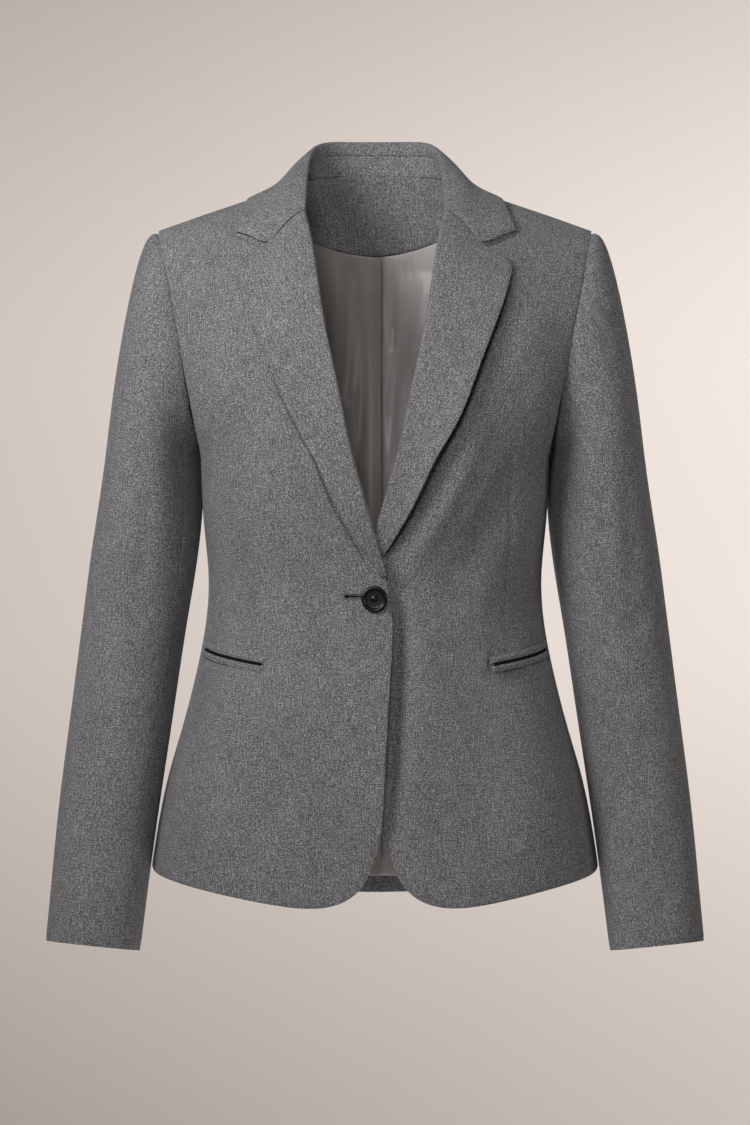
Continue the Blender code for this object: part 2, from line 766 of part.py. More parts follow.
def sleeve_grid():
    """Rows from the armhole to the cuff, columns round the arm from the underarm."""
    front = along(ARMHOLE_FRONT, cell_shares(UPPER_ROWS))
    back = along(ARMHOLE_BACK, cell_shares(UPPER_ROWS))[::-1]
    armhole = np.concatenate([front, back[1:]])
    turn = np.linspace(0, 2 * np.pi, SLEEVE_CELLS + 1)[:, None]
    height = (1 - np.cos(turn)) / 2
    tube = sleeve_tube()
    first = tube[0]
    clear = ARMHOLE_GAP + ARMHOLE_GAP_SIDES * np.abs(np.sin(turn))
    clear = clear + WOOL * UNDERARM_WALLS * (1 - smooth_step(height, 0.05, 0.5))
    start = armhole + clear * np.array([1.0, 0.0, 0.0])
    sideways = HEAD_OUT + (1 - HEAD_OUT) * height**0.7
    forwards = -HEAD_SPREAD * np.sin(turn)
    upwards = HEAD_RISE * height**4 - (1 - height) ** 0.8
    outward = unit(np.hstack([sideways, forwards, upwards]))
    length = np.linalg.norm(first - start, axis=1)[:, None]
    leave = start + outward * length * between(height, *HEAD_LEAVE)
    run_on = unit(tube[1] - first)
    run_on[:, :1] *= 1 - HEAD_LEAN * height
    arrive = first - run_on * length * between(height, *HEAD_ARRIVE)
    crown = CROWN * height**6 * np.array(CROWN_WAY)
    head = [
        (1 - t) ** 3 * start
        + 3 * (1 - t) ** 2 * t * leave
        + 3 * (1 - t) * t**2 * arrive
        + t**3 * first
        + crown * (t / CROWN_AT) * np.exp(1 - t / CROWN_AT)
        for t in cell_shares(SLEEVE_HEAD_ROWS, HEAD_GATHER)[:-1]
    ]
    return np.concatenate([head, tube])


def add_sleeve(side):
    grid = sleeve_grid()
    normals = -normals_of(grid, ring=True)
    mirrored = side == "right"
    half = SLEEVE_SEAM_GAP / 2
    seam = SLEEVE_SEAM_CELL
    upper = slice(seam, SLEEVE_CELLS - seam + 1)
    add_wall(
        f"sleeve_upper_{side}",
        trim(grid[:, upper], left=half, right=half)[::-1],
        normals[:, upper][::-1],
        WOOL,
        "wool",
        mirrored,
    )
    joined = np.concatenate([grid[:, SLEEVE_CELLS - seam : -1], grid[:, : seam + 1]], axis=1)
    joined_normals = np.concatenate(
        [normals[:, SLEEVE_CELLS - seam : -1], normals[:, : seam + 1]], axis=1
    )
    add_wall(
        f"sleeve_under_{side}",
        trim(joined, left=half, right=half)[::-1],
        joined_normals[::-1],
        WOOL,
        "wool",
        mirrored,
    )


# ---- lapels and collar ---------------------------------------------------------------------------
def tree_of(*grids):
    """A search tree of the panels' middle surfaces, on their own side."""
    points = []
    faces = []
    for grid in grids:
        rows, columns = grid.shape[:2]
        start = len(points)
        points += [Vector(point) for point in grid.reshape(-1, 3)]
        for row in range(rows - 1):
            for column in range(columns - 1):
                spot = start + row * columns + column
                faces.append((spot, spot + 1, spot + columns + 1, spot + columns))
    return BVHTree.FromPolygons(points, faces)


def on_panel(tree, x, z, lift):
    """The point of the front's surface seen at this x and z, moved out."""
    place, normal, _, _ = tree.ray_cast(Vector((x, -AHEAD, z)), Vector((0.0, 1.0, 0.0)))
    normal = np.array(normal)
    if normal[1] > 0:
        normal = -normal
    return np.array(place) + normal * lift


def pushed_out(tree, point, clear):
    """The point moved away from the panels until it is this far from them."""
    for _ in range(PUSHES):
        place, _, _, distance = tree.find_nearest(Vector(point))
        if distance >= clear:
            return point
        away = (np.array(place) - INSIDE_BODY) * AWAY_WEIGHTS
        side = unit(point - np.array(place))
        if np.dot(side, away) < 0:
            side = -side
        point = np.array(place) + side * clear
    return point


def roll_columns(edge, outward, opening, inset):
    """The five points of a roll that leaves a panel's edge and turns out over the panel."""
    past = inset - LAPEL_WALL / 2
    opened = np.clip((inset - ROLL_OPENS) / (ROLL_OUT - ROLL_OPENS), 0.0, 1.0)
    foot = between(opened, ROLL_LIFT, -ROLL_FOOT)
    return [
        edge + opening * (past - short) + outward * between(share, foot, ROLL_LIFT)
        for short, share in ROLL_TURN
    ]


def edge_frame(front, normals, z):
    """The front panel's edge at a height, with its outward and opening directions."""
    edge = front[:, 0]
    point = np.array([np.interp(z, edge[:, 2], axis) for axis in edge.T])
    outward = unit(np.array([np.interp(z, edge[:, 2], axis) for axis in normals[:, 0].T]))
    slope = np.gradient(edge, axis=0)
    up = unit(np.array([np.interp(z, edge[:, 2], axis) for axis in slope.T]))
    opening = unit(np.cross(outward, up))
    if opening[0] > 0:
        opening = -opening
    return point, outward, opening


def lapel_lift(side, climb, share):
    """How far the lapel lies off the chest: the right one is pressed, the left one springs."""
    if side == "right":
        return ROLL_LIFT + LAPEL_PRESSED * share**2
    spring = LAPEL_SPRING * np.sin(np.pi * np.clip(climb, 0, 1) ** 0.8) + LAPEL_SPRING_TOP * climb
    return ROLL_LIFT + spring * share**1.7


def lapel_grid(side, front, normals, tree):
    """Rows from the lapel's lower end up to the gorge; the under lapel starts higher."""
    first = 0 if side == "right" else 2
    roll = np.array(ROLL_LINE)[first:]
    if side == "right":
        roll[0] = LAPEL_FOOT
    climbs = np.linspace(0, 1, LAPEL_ROWS + 1)
    rolls = along(roll, climbs)
    edges = along(np.array(LAPEL_EDGE)[first:], climbs)
    rows = []
    for climb, seen, outer in zip(climbs, rolls, edges):
        point, outward, opening = edge_frame(front, normals, seen[2])
        row = roll_columns(point, outward, opening, roll_inset(seen[2]))
        start = row[-1]
        for share in LAPEL_SHARES:
            x = between(share, start[0], outer[0])
            z = between(share, start[2], outer[1])
            row.append(on_panel(tree, x, z, lapel_lift(side, climb, share)))
        rows.append(row)
    return np.array(rows)


def neck_seam(at):
    table = NECK_BACK + NECK_FRONT[-2::-1]
    return through(np.arange(len(table)), table, at)


def collar_end(tree, gorge_row):
    """The leaf's front end: along the gorge as far as the notch, then on to the corner."""
    notch = gorge_row[GORGE_POINTS - 1]
    corner = COLLAR_EDGE[-1]
    row = list(gorge_row[:GORGE_POINTS])
    for share in (1 / 3, 2 / 3, 1.0):
        x = between(share, notch[0], corner[0])
        z = between(share, notch[2], corner[2])
        row.append(on_panel(tree, x, z, ROLL_LIFT + COLLAR_TIP_LIFT * share))
    return np.array(row)


def collar_leaf_grid(tree, gorge_row):
    """Stations from the centre back to the front end, columns from the stand over the fold."""
    last = len(COLLAR_FOLD) - 1
    steps = np.arange(last + 1)
    stations = np.linspace(0, last, COLLAR_STATIONS + 1)
    folds = through(steps, COLLAR_FOLD, stations)
    middles = through(steps, COLLAR_MIDDLE, stations)
    edges = through(steps, COLLAR_EDGE, stations)
    seams = neck_seam(stations)
    runs = unit(np.gradient(folds, axis=0))
    runs[0] = [1.0, 0.0, 0.0]
    end_row = collar_end(tree, gorge_row)
    rows = []
    for station, fold, middle, edge, seam, run in zip(stations, folds, middles, edges, seams, runs):
        up = fold - seam
        up = unit(up - run * np.dot(up, run))
        outward = unit(np.cross(run, up))
        if np.dot(outward, fold - [0.0, 0.0, fold[2]]) < 0:
            outward = -outward
        inside = fold - (outward + up) * COLLAR_FOLD_RADIUS
        outside = fold + (outward - up) * COLLAR_FOLD_RADIUS
        foot = between(LEAF_FOOT, fold, seam) - outward * LEAF_FOOT_IN
        row = [foot, between(LEAF_INSIDE, foot, inside), inside, fold, outside]
        row += [between(share, outside, middle) + outward * bulge for share, bulge in FALL_BULGE]
        row += [between(share, middle, edge) for share in (0.0, 1 / 3, 2 / 3, 1.0)]
        blend = smooth_step(station, last * COLLAR_ENDS_FROM, last)
        row = list(between(blend, np.array(row), end_row))
        if blend < 1:
            row[5:] = [pushed_out(tree, point, ROLL_LIFT + COLLAR_CLEAR) for point in row[5:]]
        rows.append(row)
    return np.array(rows)


def collar_stand_grid(leaf):
    """The band between the neck seam and the leaf's foot."""
    last = len(COLLAR_FOLD) - 1
    stations = np.linspace(0, last, COLLAR_STATIONS + 1)
    seams = neck_seam(stations)
    keep = stations <= last * STAND_ENDS
    into, above = STAND_FOOT
    rows = []
    for seam, top in zip(seams[keep], leaf[keep, 0]):
        inward = unit(np.array([-seam[0], -seam[1], 0.0]))
        foot = seam + inward * into + np.array([0.0, 0.0, above])
        climb = np.linspace(0, STAND_REACH, STAND_CELLS + 1)
        rows.append([between(share, foot, top) for share in climb])
    return np.array(rows)


def both_sides(grid):
    """The grid of the left side joined to its mirror image at the centre."""
    flipped = grid[:0:-1] * np.array([-1.0, 1.0, 1.0])
    middle = grid.copy()
    middle[0, :, 0] = 0.0
    return np.concatenate([flipped, middle])


def add_collar_and_lapels(leaves, lapels):
    """The leaf and the stand go right round the neck; the gorge seams share their normals."""
    flip = np.array([-1.0, 1.0, 1.0])
    left_leaf = leaves["left"]
    left_leaf[0, :, 0] = 0.0
    leaf = np.concatenate([leaves["right"][:0:-1] * flip, left_leaf])
    leaf_normals = normals_of(leaf)
    gorge = slice(0, GORGE_POINTS)
    for side, end, turn in (("right", 0, flip), ("left", -1, np.ones(3))):
        lapel_normals = normals_of(lapels[side])
        shared = unit(lapel_normals[-1, gorge] - leaf_normals[end, gorge] * turn)
        lapel_normals[-1, gorge] = shared
        leaf_normals[end, gorge] = -shared * turn
        lapel = trim(lapels[side], top=GORGE_GAP)
        add_wall(f"lapel_{side}", lapel, lapel_normals, LAPEL_WALL, "wool", side == "right")
    leaf = trim(leaf, bottom=GORGE_GAP, top=GORGE_GAP, left=SEAM_GAP / 2)
    add_wall("collar_leaf", leaf, leaf_normals, LAPEL_WALL, "wool", False)
    stand = both_sides(collar_stand_grid(left_leaf))
    stand = trim(stand, right=SEAM_GAP / 2)
    add_wall("collar_stand", stand, normals_of(stand), WOOL, "wool", False)


# ---- inside of the back --------------------------------------------------------------------------
def facing_edge_height(x):
    return -FACING_DEPTH + FACING_LOW_SIDE * (x / FACING_HALF) ** 2


def cut_column(column, low, high, cells):
    """Points at even steps of a panel's column between two heights."""
    heights = column[:, 2]
    run = np.r_[0, np.cumsum(np.linalg.norm(np.diff(column, axis=0), axis=1))]
    rising = np.maximum.accumulate(heights + np.arange(len(heights)) * LEAST_RISE)
    start = np.interp(low, rising, run)
    end = np.interp(high, rising, run)
    at = np.linspace(start, end, cells + 1)
    return np.array([[np.interp(point, run, axis) for axis in column.T] for point in at])


def add_back_inside(side, back, back_normals):
    """Adds a side's lining, and returns the grid of its half of the neck facing above it."""
    mirrored = side == "right"
    eased = smooth_step(np.linspace(0, 1, back.shape[1]), *EASE_STARTS)[None, :, None]
    inside = back - back_normals * (LINING_OFFSET + LINING_EASE * eased)
    edges = []
    lining = []
    for line in inside.transpose(1, 0, 2):
        edge = min(facing_edge_height(line[-3, 0]), line[-1, 2] - LINING_BELOW_SEAM)
        hem = max(LINING_HEM, line[0, 2] + LINING_ABOVE_HEM)
        edges.append(edge)
        lining.append(cut_column(line, hem, edge - SEAM_GAP, LINING_ROWS))
    lining = np.array(lining).transpose(1, 0, 2)
    if mirrored:
        lining[..., 1] -= PLEAT_LIFT * smooth_step(lining[..., 0], PLEAT_FADE, 0)
    lining[:, 0, 0] += PLEAT_EDGE[side]
    side_gap, top_gap = LINING_SEAM_GAPS
    lining = trim(lining, right=side_gap, top=top_gap)
    normals = -normals_of(lining)
    name = f"lining_{side}"
    add_wall(name, lining[:, ::-1], normals[:, ::-1], LINING_WALL, "lining", mirrored)
    facing = []
    for column in range(FACING_CELLS):
        line = np.vstack([inside[:, column], inside[-1, column] + [0.0, 0.0, FACING_RISE]])
        facing.append(cut_column(line, edges[column] + SEAM_GAP, line[-1, 2], FACING_ROWS))
    return np.array(facing)


# ---- pockets and button --------------------------------------------------------------------------
def welt_grid(side, low, high):
    """A strip on the front between two distances below the pocket's upper edge."""
    rows = []
    for drop in (low, (low + high) / 2, high):
        row = []
        for share in cell_shares(WELT_CELLS):
            z = between(share, POCKET_INNER, POCKET_OUTER) + drop
            xs, ys, run = section(z, "front")
            at = run[-1] - WELT_FROM_SIDE_SEAM[side] - WELT_LENGTH * (1 - share)
            point = np.array([np.interp(at, run, xs), np.interp(at, run, ys), z])
            row.append(lay_under(point) if side == "left" else point)
        rows.append(row)
    grid = np.array(rows)
    return grid, normals_of(grid)


def add_pocket(side):
    lift = WOOL / 2 + WELT_GAP + WELT_WALL / 2
    bands = {
        "upper": (-WELT_HEIGHT, 0.0),
        "lower": (-2 * WELT_HEIGHT - WELT_SLIT, -WELT_HEIGHT - WELT_SLIT),
    }
    for band, (low, high) in bands.items():
        grid, normals = welt_grid(side, low, high)
        name = f"pocket_{side}_{band}_welt"
        add_wall(name, grid + normals * lift, normals, WELT_WALL, "wool", side == "right")


def add_button(front):
    """One button on its thread, sewn to the under front through the upper front's hole."""
    mesh = bpy.data.meshes.new("button")
    points = [
        (radius * BUTTON_RADIUS * MM, 0.0, out * BUTTON_THICKNESS * MM)
        for radius, out in BUTTON_PROFILE
    ]
    mesh.from_pydata(points, [(i, i + 1) for i in range(len(points) - 1)], [])
    mesh.materials.append(material("button"))
    button = bpy.data.objects.new("button", mesh)
    bpy.context.scene.collection.objects.link(button)
    turn = button.modifiers.new("turned", "SCREW")
    turn.steps = BUTTON_SIDES
    turn.render_steps = BUTTON_SIDES
    turn.use_merge_vertices = True
    turn.merge_threshold = BUTTON_MERGE * MM
    column = front[:, 1]
    depth = np.interp(BUTTON_HEIGHT, column[:, 2], column[:, 1])
    seat = depth - WOOL / 2 - SEAM_GAP - BUTTON_REST
    button.location = (BUTTON_SHIFT * MM, seat * MM, BUTTON_HEIGHT * MM)
    button.rotation_euler = (np.radians(90), 0.0, 0.0)


def main():
    for item in list(bpy.data.objects):
        bpy.data.objects.remove(item, do_unlink=True)
    leaves = {}
    lapels = {}
    for side in SIDE_SIGN:
        panels = body_side(side)
        front, front_normals, back, back_normals = panels
        add_body(side, panels)
        add_sleeve(side)
        tree = tree_of(front, back)
        lapels[side] = lapel_grid(side, front, front_normals, tree)
        leaves[side] = collar_leaf_grid(tree, lapels[side][-1])
        facing = add_back_inside(side, back, back_normals)
        add_pocket(side)
        if side == "right":
            add_button(front)
    add_collar_and_lapels(leaves, lapels)
    facing = both_sides(facing)
    add_wall("back_neck_facing", facing, normals_of(facing), FACING_WALL, "wool", False)


main()
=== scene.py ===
"""A single breasted blazer in grey melange wool, filled out as it is worn, in a pale studio."""

import itertools
import json
import math

import bpy
import numpy as np
from mathutils import Matrix, Vector
from mathutils.kdtree import KDTree

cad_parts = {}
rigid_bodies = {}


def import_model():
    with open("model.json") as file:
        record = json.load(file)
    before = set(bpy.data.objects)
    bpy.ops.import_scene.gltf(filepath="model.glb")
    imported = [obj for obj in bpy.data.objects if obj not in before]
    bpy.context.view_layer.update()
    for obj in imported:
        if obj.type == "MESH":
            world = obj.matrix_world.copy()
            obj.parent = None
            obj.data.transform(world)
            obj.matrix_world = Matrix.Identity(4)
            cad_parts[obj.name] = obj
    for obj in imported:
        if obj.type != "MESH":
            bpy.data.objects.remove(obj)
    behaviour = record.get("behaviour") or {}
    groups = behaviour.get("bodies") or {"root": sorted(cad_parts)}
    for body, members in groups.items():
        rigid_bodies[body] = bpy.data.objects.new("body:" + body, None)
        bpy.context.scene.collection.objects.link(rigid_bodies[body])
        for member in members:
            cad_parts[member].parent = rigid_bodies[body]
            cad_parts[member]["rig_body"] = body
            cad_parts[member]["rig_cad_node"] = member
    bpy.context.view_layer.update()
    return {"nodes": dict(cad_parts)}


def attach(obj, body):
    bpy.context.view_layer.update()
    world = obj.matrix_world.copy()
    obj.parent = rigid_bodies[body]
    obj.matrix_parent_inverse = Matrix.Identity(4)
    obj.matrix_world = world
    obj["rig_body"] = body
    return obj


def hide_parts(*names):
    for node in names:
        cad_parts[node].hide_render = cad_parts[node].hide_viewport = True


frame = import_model()
scene = bpy.context.scene
MM = 0.001

# ---- Studio ------------------------------------------------------------------------------------
# A round sweep of pale matt card: a flat floor whose rim curves up into a wall all the way round.
# Softboxes light it: a key from the left, weak fills from the front, right and back, a wash on the
# card, and one under the hem. The camera looks level at the jacket's middle. Sizes are in metres.
CAMERA_DISTANCE = 3.2
CAMERA_HEIGHT = -0.341
FRAME_HEIGHT = 0.97875      # what the frame takes in, at the jacket
SENSOR_HEIGHT = 24.0        # millimetres
CARD = "dad2cd"
CARD_PAINTED_SHADE = "bdb4ae"      # painted shade away from the wash, at the floor and high up
CARD_BRIGHT_HEIGHT = 1.25   # above the floor
CARD_FADE = (0.2, 1.5)      # this far above and below that, the painted shade starts and is full
FLOOR_HEIGHT = -1.45
FLOOR_RADIUS = 3.4
FLOOR_SIDES = 96
COVE_RADIUS = 1.6
COVE_STEPS = 12
WALL_TOP = 2.6
AIR = 0.08                  # strength of the even light that the room gives
AIR_COLOUR = "f2f3f5"
# Each softbox: name, place, what it faces, width, and power in watts.
SOFTBOXES = (
    ("key", (-1.1, -1.25, 0.6), (0, 0, 0.85), 0.7, 28),
    ("front_fill", (-0.3, -3.0, 0.55), (0, 0, 3.0), 0.5, 40),
    ("side_fill", (1.7, -0.9, 0.1), (0.2, 0, -0.3), 0.6, 4),
    ("wall_wash", (1.2, 1.9, 0.6), (1.0, 4.9, 0.5), 1.6, 101),
    ("back_fill", (-0.5, 2.4, 0.1), (0, 0, -0.35), 1.0, 20),
    ("hem_bounce", (0, -0.02, -0.98), (0, 0.12, -0.6), 0.25, 0.55),
)


def linear(code):
    """An sRGB hex colour as linear red, green, blue and alpha."""
    parts = [int(code[i : i + 2], 16) / 255 for i in (0, 2, 4)]
    return [((c + 0.055) / 1.055) ** 2.4 if c > 0.04045 else c / 12.92 for c in parts] + [1.0]


def add_node(tree, kind, settings=None, values=None, links=None):
    """A node with its settings, its sockets' values, and links into its sockets."""
    made = tree.nodes.new(kind)
    for key, value in (settings or {}).items():
        setattr(made, key, value)
    for key, value in (values or {}).items():
        made.inputs[key].default_value = value
    for key, output in (links or {}).items():
        tree.links.new(output, made.inputs[key])
    return made


def new_material(name):
    """An empty material and its node tree."""
    made = bpy.data.materials.new(name)
    made.use_nodes = True
    made.node_tree.nodes.clear()
    return made, made.node_tree


def finish_material(tree, shader):
    """Leads a shader to the material's output."""
    add_node(tree, "ShaderNodeOutputMaterial", links={"Surface": shader.outputs["BSDF"]})


scene.view_settings.view_transform = "Standard"
bpy.ops.object.select_all(action="DESELECT")
bpy.ops.object.camera_add(
    location=(0, -CAMERA_DISTANCE, CAMERA_HEIGHT), rotation=(math.pi / 2, 0, 0)
)
camera = bpy.context.object
camera.data.sensor_fit = "VERTICAL"
camera.data.sensor_height = SENSOR_HEIGHT
camera.data.lens = SENSOR_HEIGHT * CAMERA_DISTANCE / FRAME_HEIGHT
scene.camera = camera

bpy.ops.mesh.primitive_circle_add(
    vertices=FLOOR_SIDES, radius=FLOOR_RADIUS, fill_type="NGON", location=(0, 0, FLOOR_HEIGHT)
)
sweep = bpy.context.object
sweep.name = "card_sweep"
bpy.ops.object.mode_set(mode="EDIT")
bpy.ops.mesh.select_mode(type="EDGE")
bpy.ops.mesh.select_all(action="SELECT")
bpy.ops.mesh.region_to_loop()
width = FLOOR_RADIUS
height = 0.0
for step in range(1, COVE_STEPS + 1):
    turn = math.pi / 2 * step / COVE_STEPS
    next_width = FLOOR_RADIUS + COVE_RADIUS * math.sin(turn)
    next_height = COVE_RADIUS * (1 - math.cos(turn))
    bpy.ops.mesh.extrude_edges_move(
        TRANSFORM_OT_translate={"value": (0, 0, next_height - height)}
    )
    wider = next_width / width
    bpy.ops.transform.resize(value=(wider, wider, 1), center_override=(0, 0, 0))
    width, height = next_width, next_height
bpy.ops.mesh.extrude_edges_move(
    TRANSFORM_OT_translate={"value": (0, 0, WALL_TOP - FLOOR_HEIGHT - COVE_RADIUS)}
)
bpy.ops.object.mode_set(mode="OBJECT")
bpy.ops.object.shade_smooth()
# The card's colour is painted darker away from its brightest height, as painted shade.
card, tree = new_material("matt pale card")
place = add_node(tree, "ShaderNodeTexCoord").outputs["Object"]
height = add_node(tree, "ShaderNodeSeparateXYZ", links={"Vector": place}).outputs["Z"]
above = add_node(
    tree, "ShaderNodeMath", {"operation": "SUBTRACT"}, {1: CARD_BRIGHT_HEIGHT}, {0: height}
)
away = add_node(tree, "ShaderNodeMath", {"operation": "ABSOLUTE"}, {}, {0: above.outputs[0]})
shaded = add_node(
    tree,
    "ShaderNodeMapRange",
    {"interpolation_type": "SMOOTHSTEP"},
    {"From Min": CARD_FADE[0], "From Max": CARD_FADE[1]},
    {"Value": away.outputs[0]},
)
tint = add_node(
    tree,
    "ShaderNodeMix",
    {"data_type": "RGBA"},
    {"A": linear(CARD), "B": linear(CARD_PAINTED_SHADE)},
    {"Factor": shaded.outputs["Result"]},
)
finish_material(
    tree,
    add_node(
        tree,
        "ShaderNodeBsdfPrincipled",
        values={"Roughness": 0.95, "Specular IOR Level": 0.1},
        links={"Base Color": tint.outputs["Result"]},
    ),
)
sweep.data.materials.append(card)

world = bpy.data.worlds.new("studio air")
world.use_nodes = True
world.node_tree.nodes["Background"].inputs["Color"].default_value = linear(AIR_COLOUR)
world.node_tree.nodes["Background"].inputs["Strength"].default_value = AIR
scene.world = world
for name, place, aim, width, power in SOFTBOXES:
    direction = Vector(aim) - Vector(place)
    bpy.ops.object.light_add(
        type="AREA", location=place, rotation=direction.to_track_quat("-Z", "Y").to_euler()
    )
    lamp = bpy.context.object
    lamp.name = name
    lamp.data.size = width
    lamp.data.energy = power
    lamp.visible_camera = False

# ---- Fronts ------------------------------------------------------------------------------------
# Two wool fronts, cut with the grain upright and shaped by a waist dart. The wearer's right one
# lies on top. Each is one layer of suiting on its interlining, pressed and turned in at its edges,
# and its inside is faced with wool at the edge and lined with sateen behind that.

# All sizes from here on are in millimetres, apart from those that say metres.
WOOL_WALL = 2.0
FACING_REACH = 78.0         # wool faces the inside of a front this far from the middle

# Wool suiting: plain-woven melange yarn of dark, middle and light fibres. The yarns are under
# half a millimetre, too fine to show, so the flecks are drawn about 1 mm wide and the slubs of
# both threads 14 mm long. Patches of cool and of warm fibre tint it from place to place.
FLECK = 0.00105             # these four in metres
SLUB = 0.014
PATCH = (0.022, 0.032)
SHADE = (0.03, 0.08)        # broad uneven dyeing
WOOL_DARK = "3d3d3f"
WOOL_MIDDLE = "6e6e70"
WOOL_LIGHT = "b2b1b2"
WOOL_COOL = "7c7a84"
WOOL_WARM = "807f79"
SLUB_SHARE = 0.42           # what each pattern adds over the plain speckle
THREAD_SHARE = 0.26
SHADE_SHARE = 0.04
WOOL_STEPS = (0.36, 0.5, 0.64)   # of the pattern, for dark, middle and light
PATCH_STEPS = (0.38, 0.62)  # and for cool and warm
TINT_SHARE = 0.3
NAP_STRENGTH, NAP_HEIGHT = 0.4, 0.0004   # of the bumps, the height in metres


def suiting(name):
    """Melange wool: flecks and slubs along both threads, tinted patches, and nap."""
    made, tree = new_material(name)
    cloth = add_node(tree, "ShaderNodeUVMap", {"uv_map": "grain"}).outputs["UV"]

    def fleck(across, along, detail, shift):
        """Flecks of a size in metres. The shift keeps each pattern apart from the others."""
        stretch = add_node(
            tree,
            "ShaderNodeMapping",
            values={"Scale": (1 / across, 1 / along, 1), "Location": (shift, shift * 0.7, 0)},
            links={"Vector": cloth},
        )
        return add_node(
            tree,
            "ShaderNodeTexNoise",
            {"noise_dimensions": "2D"},
            {"Scale": 1.0, "Detail": detail, "Roughness": 0.6},
            {"Vector": stretch.outputs["Vector"]},
        ).outputs["Fac"]

    def mixed(first, second, share):
        """The first pattern with a share of the second."""
        return add_node(
            tree,
            "ShaderNodeMix",
            {"data_type": "FLOAT"},
            {"Factor": share},
            {"A": first, "B": second},
        ).outputs["Result"]

    threads = mixed(fleck(FLECK * 0.9, SLUB, 1.0, 3.1), fleck(SLUB, FLECK * 0.9, 1.0, 7.7), 0.4)
    slubs = mixed(fleck(FLECK, FLECK * 3.2, 1.0, 5.3), fleck(FLECK * 3.0, FLECK, 1.0, 9.9), 0.45)
    speckle = fleck(FLECK, FLECK, 1.0, 11.3)
    woven = mixed(mixed(speckle, slubs, SLUB_SHARE), threads, THREAD_SHARE)
    tone = mixed(woven, fleck(*SHADE, 2.0, 1.9), SHADE_SHARE)
    ramp = add_node(tree, "ShaderNodeValToRGB", links={"Fac": tone})
    stops = ramp.color_ramp.elements
    stops[0].position, stops[0].color = WOOL_STEPS[0], linear(WOOL_DARK)
    stops[1].position, stops[1].color = WOOL_STEPS[2], linear(WOOL_LIGHT)
    middle = stops.new(WOOL_STEPS[1])
    middle.color = linear(WOOL_MIDDLE)
    patches = add_node(
        tree,
        "ShaderNodeMapRange",
        {"clamp": True},
        {"From Min": PATCH_STEPS[0], "From Max": PATCH_STEPS[1]},
        {"Value": mixed(fleck(*PATCH, 2.0, 23.0), speckle, 0.35)},
    )
    tint = add_node(
        tree,
        "ShaderNodeMix",
        {"data_type": "RGBA"},
        {"A": linear(WOOL_COOL), "B": linear(WOOL_WARM)},
        {"Factor": patches.outputs["Result"]},
    )
    coloured = add_node(
        tree,
        "ShaderNodeMix",
        {"data_type": "RGBA", "blend_type": "COLOR"},
        {"Factor": TINT_SHARE},
        {"A": ramp.outputs["Color"], "B": tint.outputs["Result"]},
    )
    bump = add_node(
        tree,
        "ShaderNodeBump",
        values={"Strength": NAP_STRENGTH, "Distance": NAP_HEIGHT},
        links={"Height": woven},
    )
    finish_material(
        tree,
        add_node(
            tree,
            "ShaderNodeBsdfPrincipled",
            values={
                "Roughness": 0.88,
                "Specular IOR Level": 0.22,
                "Sheen Weight": 0.1,
                "Sheen Roughness": 0.5,
            },
            links={"Base Color": coloured.outputs["Result"], "Normal": bump.outputs["Normal"]},
        ),
    )
    return made


# Sateen: filament warp floating over the weft, so it is smooth, and its sheen runs up and down.
# Its threads are finer than a tenth of a millimetre, and are drawn as streaks wide enough to show.
SATEEN_STREAK = (0.0011, 0.03)   # width and length in metres


def sateen(name, dark, light):
    """Taupe-grey lining between two shades: fine upright threads and a soft sheen."""
    made, tree = new_material(name)
    cloth = add_node(tree, "ShaderNodeUVMap", {"uv_map": "grain"})
    stretch = add_node(
        tree,
        "ShaderNodeMapping",
        values={"Scale": (1 / SATEEN_STREAK[0], 1 / SATEEN_STREAK[1], 1)},
        links={"Vector": cloth.outputs["UV"]},
    )
    threads = add_node(
        tree,
        "ShaderNodeTexNoise",
        {"noise_dimensions": "2D"},
        {"Scale": 1.0, "Detail": 2.0},
        {"Vector": stretch.outputs["Vector"]},
    )
    ramp = add_node(tree, "ShaderNodeValToRGB", links={"Fac": threads.outputs["Fac"]})
    stops = ramp.color_ramp.elements
    stops[0].position, stops[0].color = 0.3, linear(dark)
    stops[1].position, stops[1].color = 0.7, linear(light)
    bump = add_node(
        tree,
        "ShaderNodeBump",
        values={"Strength": 0.15, "Distance": 0.0002},
        links={"Height": threads.outputs["Fac"]},
    )
    finish_material(
        tree,
        add_node(
            tree,
            "ShaderNodeBsdfPrincipled",
            values={
                "Roughness": 0.42,
                "Specular IOR Level": 0.45,
                "Anisotropic": 0.5,
                "Sheen Weight": 0.2,
            },
            links={"Base Color": ramp.outputs["Color"], "Normal": bump.outputs["Normal"]},
        ),
    )
    return made


WOOL = suiting("melange wool suiting")
LINING = sateen("taupe sateen lining", "948d89", "9c9591")

WELD = 0.02                 # points this near each other are one
RAY_START = 0.01            # behind a face, to look for the one behind it
QUAD_TURN, QUAD_SKEW = 60, 80   # degrees that two triangles of one quad may turn and skew
EDGE_DEPTH = 1.6            # walls of cloth behind a face, at least, where it is on an edge
SKIN_TURN = 52              # degrees between faces where a skin ends


